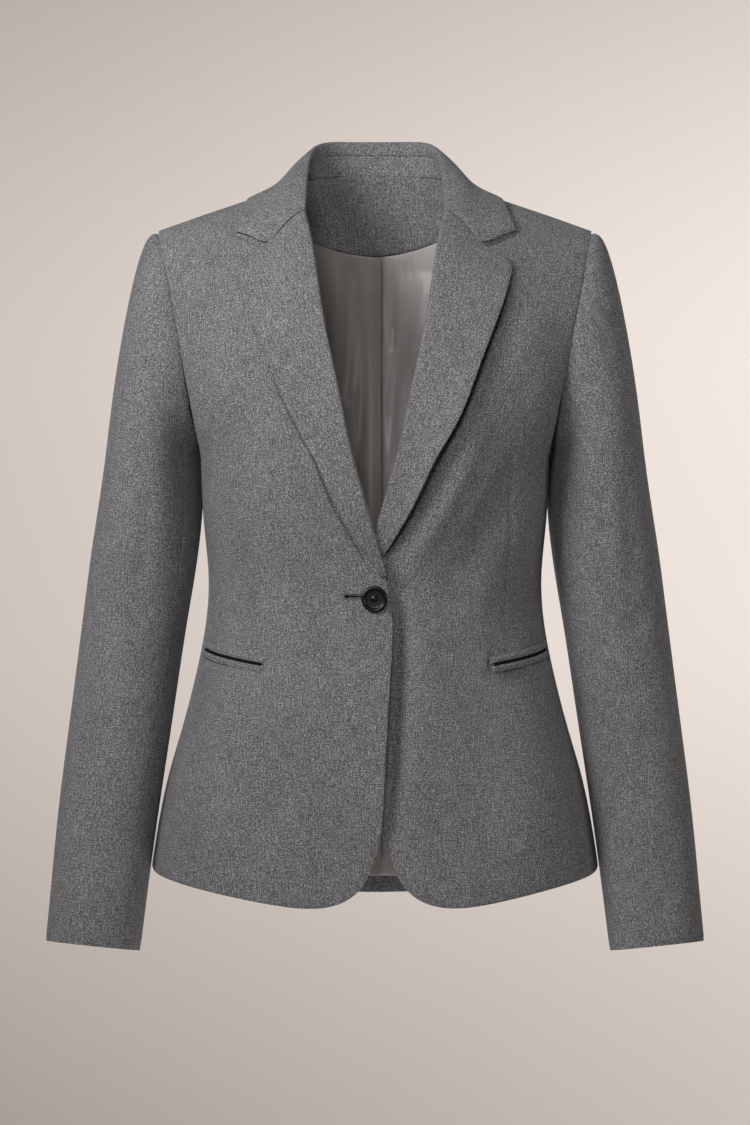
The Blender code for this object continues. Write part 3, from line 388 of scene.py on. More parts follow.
def lift_off(node, name, wall, outwards):
    """The outer skin of a cloth solid: a copy, merged into quads, without its edges and inside."""
    bpy.ops.object.select_all(action="DESELECT")
    cloth = frame["nodes"][node].copy()
    cloth.data = cloth.data.copy()
    cloth.name = cloth.data.name = name
    cloth.parent = None
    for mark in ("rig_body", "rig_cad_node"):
        del cloth[mark]
    cloth.data.materials.clear()
    scene.collection.objects.link(cloth)
    cloth.select_set(True)
    bpy.context.view_layer.objects.active = cloth
    bpy.ops.mesh.customdata_custom_splitnormals_clear()
    bpy.ops.object.mode_set(mode="EDIT")
    bpy.ops.mesh.select_mode(type="FACE")
    bpy.ops.mesh.select_all(action="SELECT")
    bpy.ops.mesh.remove_doubles(threshold=WELD * MM)
    bpy.ops.mesh.tris_convert_to_quads(
        face_threshold=math.radians(QUAD_TURN), shape_threshold=math.radians(QUAD_SKEW)
    )
    bpy.ops.mesh.select_all(action="DESELECT")
    bpy.ops.object.mode_set(mode="OBJECT")
    # A face of an edge has the whole width of the cloth behind it, and is hidden to part the skins.
    bpy.context.view_layer.update()
    start = RAY_START * MM
    behind = []
    for face in cloth.data.polygons:
        hit, place, _, _ = cloth.ray_cast(face.center - face.normal * start, -face.normal)
        behind.append((place - face.center).length if hit else 1.0)
    for face, depth in zip(cloth.data.polygons, behind):
        face.hide = depth > EDGE_DEPTH * wall * MM
    facing = Vector(outwards).normalized()
    skins = [face for face in cloth.data.polygons if not face.hide]
    first = max(skins, key=lambda face: face.area * max(0.0, face.normal.dot(facing)) ** 4)
    first.select = True
    bpy.ops.object.mode_set(mode="EDIT")
    bpy.ops.mesh.faces_select_linked_flat(sharpness=math.radians(SKIN_TURN))
    bpy.ops.mesh.reveal(select=False)
    bpy.ops.mesh.select_all(action="INVERT")
    bpy.ops.mesh.delete(type="FACE")
    bpy.ops.object.mode_set(mode="OBJECT")
    return cloth


BOLT_STEP = 0.83            # each piece is cut this much further along the cloth, in metres
BOLT_SIDE = 0.3             # and this far across it
cuts_made = itertools.count()


def lay_grain(cloth, upright):
    """Lays the sheet flat as its cut piece, in metres, with the grain along V."""
    mesh = cloth.data
    while mesh.uv_layers:
        mesh.uv_layers.remove(mesh.uv_layers[0])
    mesh.uv_layers.new(name="grain")
    bpy.ops.object.mode_set(mode="EDIT")
    bpy.ops.mesh.select_all(action="SELECT")
    bpy.ops.uv.unwrap(method="CONFORMAL", margin=0)
    bpy.ops.object.mode_set(mode="OBJECT")
    layer = mesh.uv_layers["grain"]
    flat = np.zeros(len(mesh.loops) * 2)
    layer.uv.foreach_get("vector", flat)
    flat = flat.reshape(-1, 2)
    corner = np.zeros(len(mesh.loops), int)
    mesh.loops.foreach_get("vertex_index", corner)
    points = points_of(cloth)[corner]
    # The flat piece gets edges as long as the cloth's, and is turned until its top is up.
    real = drawn = 0.0
    for face in mesh.polygons:
        ring = list(face.loop_indices)
        after = ring[1:] + ring[:1]
        real += np.linalg.norm(points[after] - points[ring], axis=1).sum()
        drawn += np.linalg.norm(flat[after] - flat[ring], axis=1).sum()
    rise = points @ np.array(Vector(upright).normalized())
    flat = (flat - flat.mean(0)) * real / drawn
    way = ((rise - rise.mean())[:, None] * flat).sum(0)
    way /= np.linalg.norm(way)
    turned = np.stack([flat[:, 0] * way[1] - flat[:, 1] * way[0], flat @ way], 1)
    turned += [BOLT_SIDE, next(cuts_made) * BOLT_STEP]
    layer.uv.foreach_set("vector", turned.ravel())


def points_of(cloth):
    """The places of a mesh's points, in metres, a row for each."""
    points = np.zeros(len(cloth.data.vertices) * 3)
    cloth.data.vertices.foreach_get("co", points)
    return points.reshape(-1, 3)


def normals_of(cloth):
    """The normals at a mesh's points, a row for each."""
    normals = np.zeros(len(cloth.data.vertices) * 3)
    cloth.data.vertex_normals.foreach_get("vector", normals)
    return normals.reshape(-1, 3)


def move_points(cloth, points):
    """Puts a mesh's points in new places."""
    cloth.data.vertices.foreach_set("co", points.ravel())
    cloth.data.update()


def apply_modifier(cloth, kind, **settings):
    """Adds a modifier with its settings and applies it."""
    bpy.context.view_layer.objects.active = cloth
    modifier = cloth.modifiers.new(kind.lower(), kind)
    for key, value in settings.items():
        setattr(modifier, key, value)
    bpy.ops.object.modifier_apply(modifier=modifier.name)


def smooth(cloth, levels):
    """Divides the cloth finer and rounds it, with its corners kept."""
    apply_modifier(
        cloth,
        "SUBSURF",
        levels=levels,
        render_levels=levels,
        boundary_smooth="PRESERVE_CORNERS",
        uv_smooth="PRESERVE_BOUNDARIES",
    )


def smooth_step(value, low, high):
    """From 0 at the low value to 1 at the high one, with soft ends."""
    share = np.clip((value - low) / (high - low), 0.0, 1.0)
    return share * share * (3 - 2 * share)


def edges_of(cloth):
    """The points on the sheet's edges, and the way out of the sheet at each of them."""
    points = points_of(cloth)
    ways = np.zeros_like(points)
    uses = {}
    for face in cloth.data.polygons:
        for key in face.edge_keys:
            uses.setdefault(key, []).append(face.index)
    for (first, second), faces in uses.items():
        if len(faces) == 1:
            run = points[second] - points[first]
            run /= np.linalg.norm(run)
            out = (points[first] + points[second]) / 2
            out -= np.array(cloth.data.polygons[faces[0]].center)
            out -= run * (out @ run)
            ways[first] += out / np.linalg.norm(out)
            ways[second] += out / np.linalg.norm(out)
    length = np.linalg.norm(ways, axis=1)
    edge = np.flatnonzero(length > 0.1)
    return edge, ways[edge] / length[edge][:, None]


SEAM_ROLL = 0.45            # how deep a sewn or turned edge rolls in
SEAM_ROLL_WIDTH = 2.6
SEAM_LET_OUT = 0.12         # how far it comes out over the seam, to meet its neighbour


def sew(cloth, let_out=SEAM_LET_OUT, roll=SEAM_ROLL):
    """Rolls the cloth's edges in, and lets them out evenly or by a function of their places."""
    edge, ways = edges_of(cloth)
    points = points_of(cloth)
    tree = KDTree(len(edge))
    for index in edge:
        tree.insert(points[index], int(index))
    tree.balance()
    from_edge = np.array([tree.find(point)[2] for point in points]) / MM
    sunk = roll * np.exp(-((from_edge / SEAM_ROLL_WIDTH) ** 2))
    moved = points - normals_of(cloth) * (sunk * MM)[:, None]
    if callable(let_out):
        moved[edge] += ways * let_out(points[edge] / MM, ways)[:, None] * MM
    else:
        moved[edge] += ways * let_out * MM
    move_points(cloth, moved)


PRESS_FACING = (0.05, 0.45)   # how squarely cloth faces a side, to be pressed a little or fully
FOLD_TAPER = 0.7
RIDGE_SHARE = 0.8           # how strongly ridges rise beside a fold


def press(cloth, folds, side=(0, -1, 0)):
    """Presses each fold in: a trough with soft ridges beside it, or a ridge if its depth is
    negative. A fold is a bowed line on the side of the cloth that faces one way."""
    points = points_of(cloth)
    normals = normals_of(cloth)
    seen = smooth_step(normals @ np.array(side, float), *PRESS_FACING)
    flat = points[:, (0, 2)] / MM
    shift = np.zeros(len(points))
    for from_x, from_z, to_x, to_z, bow, width, depth in folds:
        start = np.array([from_x, from_z], float)
        end = np.array([to_x, to_z], float)
        run = end - start
        length = np.linalg.norm(run)
        run /= length
        share = (flat - start) @ run / length
        off = (flat - start) @ np.array([-run[1], run[0]])
        off = off - bow * 4 * np.clip(share, 0, 1) * (1 - np.clip(share, 0, 1))
        beyond = np.maximum(np.maximum(-share, share - 1), 0) * length
        taper = np.clip(1 - (2 * np.clip(share, 0, 1) - 1) ** 2, 0, 1) ** FOLD_TAPER
        near = (off**2 + beyond**2) / width**2
        shift -= depth * taper * (1 - RIDGE_SHARE * near) * np.exp(-near)
    move_points(cloth, points + normals * (shift * seen * MM)[:, None])


def from_line(flat, line):
    """How far each point lies from a line through (x, z, depth) points, and the depth there."""
    ends = np.array(line, float)
    nearest = np.full(len(flat), np.inf)
    depth = np.zeros(len(flat))
    for start, end in zip(ends[:-1], ends[1:]):
        run = end[:2] - start[:2]
        share = np.clip((flat - start[:2]) @ run / (run @ run), 0, 1)
        off = np.linalg.norm(flat - start[:2] - share[:, None] * run, axis=1)
        closer = off < nearest
        nearest[closer] = off[closer]
        depth[closer] = (start[2] + (end[2] - start[2]) * share)[closer]
    return nearest, depth


SCORE_FACING = (0.05, 0.3)
CUT_REACH, CUT_MARGIN = 1.6, 1.5   # the mesh is cut finer up to this many widths and this much more


def score(cloth, lines, cuts=0):
    """Sinks the front of a cloth along each line by the depth set at its points, or lifts it where
    that is negative. A line is a width and its points. With cuts, the mesh is first cut finer
    along it."""
    for width, line in lines:
        if cuts:
            turns = np.array([-face.normal.y for face in cloth.data.polygons])
            middles = np.array([face.center for face in cloth.data.polygons])[:, (0, 2)] / MM
            reach = CUT_REACH * width + CUT_MARGIN
            near = (turns > SCORE_FACING[0]) & (from_line(middles, line)[0] < reach)
            bpy.ops.object.mode_set(mode="EDIT")
            bpy.ops.mesh.select_mode(type="FACE")
            bpy.ops.mesh.select_all(action="DESELECT")
            bpy.ops.object.mode_set(mode="OBJECT")
            cloth.data.polygons.foreach_set("select", near)
            bpy.ops.object.mode_set(mode="EDIT")
            bpy.ops.mesh.subdivide(number_cuts=cuts)
            bpy.ops.object.mode_set(mode="OBJECT")
        points = points_of(cloth)
        normals = normals_of(cloth)
        seen = smooth_step(-normals[:, 1], *SCORE_FACING)
        off, depth = from_line(points[:, (0, 2)] / MM, line)
        sunk = depth * np.exp(-((off / width) ** 2)) * seen
        move_points(cloth, points - normals * (sunk * MM)[:, None])


EDGE_ROUND = 0.45           # radius of a turned edge
EDGE_TURN = 60              # degrees between faces from which an edge is rounded
EDGE_STEPS = 2              # and in how many steps
SHADE_TURN = 50             # degrees up to which the shading runs on smoothly


def thicken(cloth, wall, outside, inside=None):
    """Gives the sheet its thickness inwards, turns its edges round, and sets its materials."""
    cloth.data.materials.append(outside)
    cloth.data.materials.append(inside or outside)
    apply_modifier(
        cloth, "SOLIDIFY", thickness=wall * MM, offset=-1, use_even_offset=True, material_offset=1
    )
    apply_modifier(
        cloth,
        "BEVEL",
        width=EDGE_ROUND * MM,
        segments=EDGE_STEPS,
        limit_method="ANGLE",
        angle_limit=math.radians(EDGE_TURN),
    )
    bpy.ops.object.select_all(action="DESELECT")
    cloth.select_set(True)
    bpy.ops.object.shade_smooth_by_angle(angle=math.radians(SHADE_TURN))


def hang(cloth, node):
    """Hangs a sheet in a solid's place: attaches it to the root body and hides the solid."""
    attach(cloth, "root")
    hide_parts(node)


# Folds of the fronts: from x, z to x, z, bow, width and depth, which is negative for a ridge. Most
# are drawn by the fastened button. The long thin ones at the waist are the darts.
FRONT_FOLDS = {
    "right": (
        (-116, -252, -116, -256, 0, 5, 2.8),
        (-118, -256, -112, -400, 2, 2.2, 0.6),
        (-96, -252, -28, -352, 6, 13, 1.6),
        (-112, -330, -40, -368, -5, 15, 1.2),
        (-100, -398, -22, -378, 4, 12, 0.9),
        (-30, -395, -34, -560, 3, 22, 0.9),
        (-96, -440, -90, -600, -6, 24, 0.8),
    ),
    "left": (
        (58, -376, 128, -252, -3, 25, 6.0),
        (23, -357, 94, -214, -4, 13, -4.0),
        (121, -212, 148, -150, 2, 14, 1.6),
        (133, -262, 136, -128, 0, 26, -4.0),
        (118, -252, 112, -402, 2, 2.4, 1.2),
        (116, -262, 117, -245, 0, 5, 1.6),
        (44, -372, 110, -392, 4, 13, 1.1),
        (30, -382, 92, -424, -5, 14, 0.9),
        (34, -430, 38, -590, -4, 22, 0.9),
        (104, -450, 100, -596, 5, 24, 0.9),
    ),
}
NARROW = 3.0                # the mesh is cut finer along a line that is narrower
# Lines that a front is pressed along, as a width and x, z, depth points: under its lapel's edge,
# under the collar's notch, and where the over front lies on the under one. The widest two are
# hollows, down to the hem and at the waist.
FRONT_LINES = {
    "right": (
        (
            1.7,
            (
                (-117.4, -89, 1.0),
                (-109.5, -122, 1.1),
                (-94.8, -158, 1.3),
                (-81.8, -194, 2.4),
                (-64.2, -230, 3.2),
                (-50.2, -254, 3.6),
                (-36.2, -290, 3.6),
                (-22.8, -314, 3.2),
                (-8.2, -338, 2.4),
                (-1, -348, 0.6),
            ),
        ),
        (2.4, ((-91, -69.4, 5.6), (-97, -67, 5.6), (-106, -63.6, 5.0), (-121, -57.6, 2.0))),
        (
            12,
            (
                (13.5, -392, 0.0),
                (12.5, -430, -1.8),
                (10.5, -470, -2.2),
                (8, -522, -2.2),
                (5, -565, -1.6),
                (-4, -600, -0.5),
            ),
        ),
    ),
    "left": (
        (
            2.5,
            (
                (117.8, -89, 2.5),
                (109.8, -122, 5.5),
                (96.4, -158, 6.5),
                (83, -194, 7.0),
                (67, -230, 6.5),
                (54, -254, 6.5),
                (37, -290, 6.5),
                (22.2, -314, 6.0),
                (8.5, -337, 3.5),
            ),
        ),
        (2.6, ((91, -70.4, 5.5), (97, -68, 5.5), (106, -64.6, 5.0), (120.5, -59, 2.5))),
        (
            11,
            (
                (14.5, -350, 2.0),
                (18, -366, 6.0),
                (19.5, -382, 9.0),
                (20.5, -400, 9.5),
                (19.2, -430, 9.5),
                (17.2, -458, 9.5),
                (15.3, -490, 9.5),
                (13.6, -522, 9.0),
                (13.5, -548, 6.5),
                (17, -575, 2.5),
                (24, -600, 0.5),
            ),
        ),
        (38, ((84, -400, 3.0), (82, -450, 8.0), (80, -540, 8.0), (80, -590, 4.0))),
        (26, ((112, -318, 1.5), (118, -345, 4.0), (114, -400, 4.0), (112, -430, 1.0))),
    ),
}
for side in ("right", "left"):
    front = lift_off(f"front_{side}", f"front_{side}_cloth", WOOL_WALL, (0, -1, 0))
    lay_grain(front, (0, 0, 1))
    smooth(front, 3)
    sew(front)
    press(front, FRONT_FOLDS[side])
    score(front, [line for line in FRONT_LINES[side] if line[0] < NARROW], cuts=2)
    score(front, [line for line in FRONT_LINES[side] if line[0] >= NARROW])
    thicken(front, WOOL_WALL, WOOL, LINING)
    for face in front.data.polygons:
        if abs(face.center.x) < FACING_REACH * MM:
            face.material_index = 0
    hang(front, f"front_{side}")

# ---- Backs -------------------------------------------------------------------------------------
# Two wool backs joined by the centre back seam, from the hem up to the collar and shoulders. They
# are of the same suiting, and their turned-up hem shows inside, below the lining.
BACK_FOLDS = {
    "right": (
        (-30, -330, -140, -352, 5, 14, 1.8),
        (-20, -372, -130, -398, -6, 15, 1.4),
        (-146, -240, -90, -310, 6, 13, 2.0),
        (-60, -130, -150, -190, -8, 17, 1.6),
        (-52, -440, -60, -600, 6, 24, 1.6),
        (-120, -450, -132, -596, -5, 22, 1.4),
    ),
    "left": (
        (24, -338, 138, -344, -5, 14, 1.6),
        (30, -384, 126, -408, 6, 15, 1.5),
        (148, -246, 96, -300, -6, 12, 1.8),
        (50, -142, 146, -184, 8, 17, 1.5),
        (44, -432, 50, -606, -6, 24, 1.5),
        (112, -444, 128, -600, 5, 22, 1.5),
    ),
}
BACK_LET_OUT = 0.3          # so that no light comes through the centre back seam
for side in ("right", "left"):
    back = lift_off(f"back_{side}", f"back_{side}_cloth", WOOL_WALL, (0, 1, 0))
    lay_grain(back, (0, 0, 1))
    smooth(back, 2)
    sew(back, BACK_LET_OUT)
    press(back, BACK_FOLDS[side], side=(0, 1, 0))
    thicken(back, WOOL_WALL, WOOL)
    hang(back, f"back_{side}")

# ---- Sleeves -----------------------------------------------------------------------------------
# Two-piece tailored sleeves of the same suiting, lined with sateen: a wide upper sleeve set into
# the armhole with a slightly roped head, and a narrow under sleeve next to the body. Two long seams
# join them, and they hang with a soft bend at the elbow.
ARMHOLE_FOOT = -236.0
ARMHOLE_LET_OUT = 0.7
ARMHOLE_FACING = 0.3        # how squarely an edge faces the body to be the armhole's
UPPER_FOLDS = {
    "right": (
        (-196, -260, -206, -380, 4, 9, 1.6),
        (-216, -300, -224, -420, -4, 11, 1.2),
        (-196, -400, -232, -372, 3, 10, 1.4),
        (-204, -452, -244, -432, -3, 11, 1.2),
        (-256, -556, -214, -600, 5, 13, 1.6),
        (-216, -640, -240, -590, 4, 12, 1.3),
        (-232, -660, -262, -600, -3, 14, 1.0),
    ),
    "left": (
        (190, -116, 210, -142, 2, 6, 1.6),
        (194, -130, 206, -166, -2, 7, 1.2),
        (196, -268, 200, -360, -4, 9, 1.9),
        (212, -260, 222, -400, 4, 10, 1.5),
        (202, -404, 240, -376, -4, 11, 1.5),
        (208, -460, 246, -440, 3, 12, 1.3),
        (226, -480, 232, -560, 3, 10, 1.2),
        (222, -610, 262, -560, -5, 14, 1.5),
        (240, -660, 262, -590, 4, 13, 1.3),
    ),
}
UPPER_BACK_FOLDS = {
    "right": (
        (-186, -330, -236, -362, 4, 12, 1.8),
        (-190, -384, -240, -402, -4, 12, 1.8),
        (-200, -560, -246, -596, 4, 14, 1.4),
    ),
    "left": (
        (188, -338, 234, -372, -4, 12, 1.8),
        (194, -398, 242, -410, 4, 12, 1.7),
        (204, -570, 250, -600, -4, 14, 1.4),
    ),
}


def set_in(sign):
    """How far a sleeve's edge is let out: more at the armhole, where it is set into the body."""

    def let_out(places, ways):
        armhole = (places[:, 2] > ARMHOLE_FOOT) & (-sign * ways[:, 0] > ARMHOLE_FACING)
        return np.where(armhole, ARMHOLE_LET_OUT, SEAM_LET_OUT)

    return let_out


for side, sign in (("right", -1), ("left", 1)):
    upper = lift_off(f"sleeve_upper_{side}", f"sleeve_upper_{side}_cloth", WOOL_WALL, (sign, 0, 0))
    lay_grain(upper, (0, 0, 1))
    smooth(upper, 3)
    sew(upper, set_in(sign))
    press(upper, UPPER_FOLDS[side])
    press(upper, UPPER_BACK_FOLDS[side], side=(0, 1, 0))
    thicken(upper, WOOL_WALL, WOOL, LINING)
    hang(upper, f"sleeve_upper_{side}")
    under = lift_off(f"sleeve_under_{side}", f"sleeve_under_{side}_cloth", WOOL_WALL, (-sign, 0, 0))
    lay_grain(under, (0, 0, 1))
    smooth(under, 2)
    sew(under)
    thicken(under, WOOL_WALL, WOOL, LINING)
    hang(under, f"sleeve_under_{side}")

# ---- Lapels ------------------------------------------------------------------------------------
# The tops of the fronts turned out over the chest, so that their wool facing shows. The right one
# is pressed flat, and the left one springs off the chest towards its edge.
LAPEL_WALL = 2.2
LAPEL_LEAN = 0.45           # the facing's grain follows the front edge, which leans when turned
# Both lapels' edges stand off the chest, the left one's more.
LAPEL_LINES = {
    "right": (
        (5, ((-115, -90, -0.3), (-80, -194, -0.6), (-34, -290, -1.0), (-10, -332, -0.6))),
    ),
    "left": (
        (
            11,
            (
                (116, -90, -0.4),
                (108, -122, -1.2),
                (94.5, -158, -2.0),
                (81, -194, -2.4),
                (65, -230, -2.4),
                (52, -254, -2.0),
                (35, -290, -1.6),
                (20, -314, -0.8),
                (8, -334, 0),
            ),
        ),
    ),
}
NOTCH_CORNER = (93.0, -63.0)   # x and z on the left, and mirrored on the right
NOTCH_PULL = (-1.6, -4.4)
NOTCH_REACH = 17.0
FRONT_DEPTH = -20.0         # only what lies in front of this is drawn


def pull_notch(cloth):
    """Draws both notches' corners down to a point, on the collar and on the lapels alike."""
    points = points_of(cloth)
    for sign in (-1, 1):
        off = points[:, (0, 2)] / MM - np.array([NOTCH_CORNER[0] * sign, NOTCH_CORNER[1]])
        share = np.exp(-(off**2).sum(1) / NOTCH_REACH**2) * (points[:, 1] < FRONT_DEPTH * MM)
        points[:, 0] += share * NOTCH_PULL[0] * sign * MM
        points[:, 2] += share * NOTCH_PULL[1] * MM
    move_points(cloth, points)


for side, sign in (("right", -1), ("left", 1)):
    lapel = lift_off(f"lapel_{side}", f"lapel_{side}_cloth", LAPEL_WALL, (0, -1, 0))
    lay_grain(lapel, (sign * LAPEL_LEAN, 0, 1))
    smooth(lapel, 2)
    sew(lapel)
    score(lapel, LAPEL_LINES[side])
    pull_notch(lapel)
    thicken(lapel, LAPEL_WALL, WOOL)
    hang(lapel, f"lapel_{side}")

# ---- Collar ------------------------------------------------------------------------------------
# The upper collar of suiting turns over a stand that is sewn into the neck. The leaf is one piece
# from notch to notch, and the stand is joined to it just under the fold.
STAND_LET_OUT = 0.25
NECK_ROLL = 0.12            # the seams inside the neck are pressed flat
leaf = lift_off("collar_leaf", "collar_leaf_cloth", LAPEL_WALL, (0, 0, 1))
lay_grain(leaf, (0, 0, 1))
smooth(leaf, 2)
sew(leaf)
pull_notch(leaf)
thicken(leaf, LAPEL_WALL, WOOL)
hang(leaf, "collar_leaf")

stand = lift_off("collar_stand", "collar_stand_cloth", WOOL_WALL, (0, -1, 0))
lay_grain(stand, (0, 0, 1))
smooth(stand, 2)
sew(stand, STAND_LET_OUT, NECK_ROLL)
thicken(stand, WOOL_WALL, WOOL)
hang(stand, "collar_stand")

# ---- Back neck facing and lining -----------------------------------------------------------------
# Inside the neck lies a curved wool facing. Below it hangs the sateen back lining, in two halves
# that meet in an easing pleat at the centre back, gathered a little into the facing's edge.
FACING_WALL = 1.2
LINING_WALL = 1.0
STAND_MEET = 1.3
STAND_FACING = 0.6          # how squarely an edge faces up to be the one at the stand


def meet_stand(places, ways):
    """How far the facing is let out: its top runs up to the stand."""
    return np.where(ways[:, 2] > STAND_FACING, STAND_MEET, SEAM_LET_OUT)


facing = lift_off("back_neck_facing", "back_neck_facing_cloth", FACING_WALL, (0, -1, 0))
lay_grain(facing, (0, 0, 1))
smooth(facing, 2)
sew(facing, meet_stand, NECK_ROLL)
thicken(facing, FACING_WALL, WOOL)
hang(facing, "back_neck_facing")

# Folds as on the fronts: long soft ones, and short gathers under the facing.
LINING_FOLDS = {
    "right": (
        (-22, -62, -28, -200, 3, 9, 4.5),
        (-40, -62, -46, -210, -3, 9, 4.0),
        (-13, -120, -14, -250, 2, 6, 3.0),
        (-22, -190, -12, -300, -3, 8, 2.4),
        (-19, -62, -20, -90, 0, 2.6, 1.3),
        (-10, -62, -10, -84, 0, 2.4, 1.1),
    ),
    "left": (
        (15, -84, 15.5, -140, -2, 6, 3.0),
        (15, -122, 15.4, -152, 0, 3.6, 3.0),
        (47, -84, 33, -175, 3, 11, -4.5),
        (22, -150, 14, -250, -3, 6, 3.2),
        (31, -62, 32, -88, 0, 2.6, 1.3),
        (22, -62, 23, -82, 0, 2.4, 1.1),
    ),
}
# The lining billows forwards. At the pleat its right half's fold stands up and laps over the left
# half, which dives under it. A short crease lies beside the pleat on the left.
PLEAT_LAP = 1.4
PLEAT_FACING = 0.8          # how squarely an edge faces the left side to be the pleat's
BILLOW = 20.0               # a wider line is a billow, blown out before the folds are pressed in
PLEAT_LINES = {
    "right": (
        (75, ((-20, -64, -1), (-20, -100, -6), (-20, -300, -6), (-20, -420, -2))),
        (7, ((-3, -60, -1.4), (-3, -100, -2), (-5, -160, -2.2), (-3, -230, -2), (-3, -600, -1))),
    ),
    "left": (
        (75, ((20, -64, -1), (20, -100, -6), (20, -300, -6), (20, -420, -2))),
        (34, ((54, -80, -3), (52, -130, -11), (48, -250, -11), (43, -330, -7), (40, -400, -2))),
        (4, ((3, -60, 3.0), (3.5, -100, 6.5), (1.5, -160, 6.5), (3.5, -230, 6), (3, -600, 3))),
        (1.3, ((12.4, -184, 0.3), (11.6, -197, 2.6), (11.8, -206, 2.0), (12.6, -213, 0.3))),
    ),
}


def lap_over(places, ways):
    """How far the right half is let out: at the pleat it laps over the left one."""
    return np.where(ways[:, 0] > PLEAT_FACING, PLEAT_LAP, SEAM_LET_OUT)


# The left half's sateen is painted a shade lighter and cooler than the right half's: painted light
# for the light that falls on that half.
SATEEN_PAINTED_LIGHTER = sateen("taupe sateen lining painted lighter", "a8a2a0", "b2acab")
for side in ("right", "left"):
    lining = lift_off(f"lining_{side}", f"lining_{side}_cloth", LINING_WALL, (0, -1, 0))
    lay_grain(lining, (0, 0, 1))
    smooth(lining, 3)
    sew(lining, lap_over if side == "right" else SEAM_LET_OUT)
    score(lining, [line for line in PLEAT_LINES[side] if line[0] > BILLOW])
    press(lining, LINING_FOLDS[side])
    score(lining, [line for line in PLEAT_LINES[side] if line[0] < BILLOW], cuts=1)
    thicken(lining, LINING_WALL, LINING if side == "right" else SATEEN_PAINTED_LIGHTER)
    hang(lining, f"lining_{side}")

# ---- Pocket welts --------------------------------------------------------------------------------
# Each slanted hip pocket is bound by two narrow welts of the same wool, sewn down at their outer
# edges and ends. Their folded lips nearly meet at the slit, where a near-black strip shows: the
# pocket bag, its black partly painted shade in the slit.
WELT_WALL = 1.5
WELT_SINK = 1.0             # the stitching draws a welt this far into the front
WELT_ROLL = 1.1
LIP_BACK = 0.3              # a lip stands back from the slit
LIP_FACING = 0.7            # how squarely an edge faces up or down to be a lip or a seam
STITCHED_WIDTH = 1.0        # of the line that the stitching presses into the front
STITCHED_DEPTH = 1.7
STITCHED_BESIDE = 0.4       # how far outside the welt's seam the line lies
STITCHED_BEYOND = 0.6       # and how far beyond its end
STITCHED_EVERY = 4          # the line takes every fourth point of the seam
# The dark strip's rows: how far down from the upper lip, and how deep under the welts.
MOUTH_ROWS = ((-4.0, 3.4), (-0.7, 1.0), (0.25, 0.8), (1.2, 1.0), (5.2, 3.6))
POCKETING_WALL = 0.3


def set_welt(lip):
    """How far a welt's edge is let out: a lip, which faces up or down, stands back."""

    def let_out(places, ways):
        return np.where(lip * ways[:, 2] > LIP_FACING, -LIP_BACK, 0.0)

    return let_out


def ribbon(name, places):
    """A strip through an array of places, of rows across and columns along."""
    rows, columns = places.shape[:2]
    bpy.ops.object.select_all(action="DESELECT")
    bpy.ops.mesh.primitive_grid_add(x_subdivisions=columns - 1, y_subdivisions=rows - 1, size=2)
    strip = bpy.context.object
    strip.name = strip.data.name = name
    where = points_of(strip)
    column = np.rint((where[:, 0] + 1) / 2 * (columns - 1)).astype(int)
    row = np.rint((where[:, 1] + 1) / 2 * (rows - 1)).astype(int)
    move_points(strip, places[row, column])
    return strip


# Near black: partly the pocket bag's own colour, partly painted shade in the pocket slits and in
# the buttonhole's cut.
pocketing_and_painted_shade, tree = new_material("black pocketing")
finish_material(
    tree,
    add_node(
        tree,
        "ShaderNodeBsdfPrincipled",
        values={"Base Color": linear("141314"), "Roughness": 0.95, "Specular IOR Level": 0.1},
    ),
)
for side in ("right", "left"):
    corners = []
    for band, lip in (("upper", -1), ("lower", 1)):
        node = f"pocket_{side}_{band}_welt"
        welt = lift_off(node, f"{node}_cloth", WELT_WALL, (0, -1, 0))
        lay_grain(welt, (0, 0, 1))
        smooth(welt, 2)
        move_points(welt, points_of(welt) - normals_of(welt) * WELT_SINK * MM)
        edge, ways = edges_of(welt)
        if band == "upper":
            slit = np.flatnonzero(ways[:, 2] < -LIP_FACING)
            slit = slit[np.argsort(points_of(welt)[edge[slit], 0])][1:-1]
            at = points_of(welt)[edge[slit]]
            across = ways[slit]
            inwards = -normals_of(welt)[edge[slit]]
            places = [at + (across * reach + inwards * deep) * MM for reach, deep in MOUTH_ROWS]
            mouth = ribbon(f"pocket_{side}_mouth", np.array(places))
        seam = points_of(welt)[edge[np.flatnonzero(-lip * ways[:, 2] > LIP_FACING)]] / MM
        seam = seam[np.argsort(seam[:, 0])]
        corners.append(seam[-1] if side == "right" else seam[0])
        front = bpy.data.objects[f"front_{side}_cloth"]
        shift = -lip * STITCHED_BESIDE
        line = [(x, z + shift, STITCHED_DEPTH) for x, _, z in seam[::STITCHED_EVERY]]
        score(front, [(STITCHED_WIDTH, line)])
        sew(welt, set_welt(lip), WELT_ROLL)
        thicken(welt, WELT_WALL, WOOL)
        hang(welt, node)
    shift = STITCHED_BEYOND if side == "right" else -STITCHED_BEYOND
    line = [(x + shift, z, STITCHED_DEPTH) for x, _, z in corners]
    score(front, [(STITCHED_WIDTH, line)])
    thicken(mouth, POCKETING_WALL, pocketing_and_painted_shade)
    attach(mouth, "root")

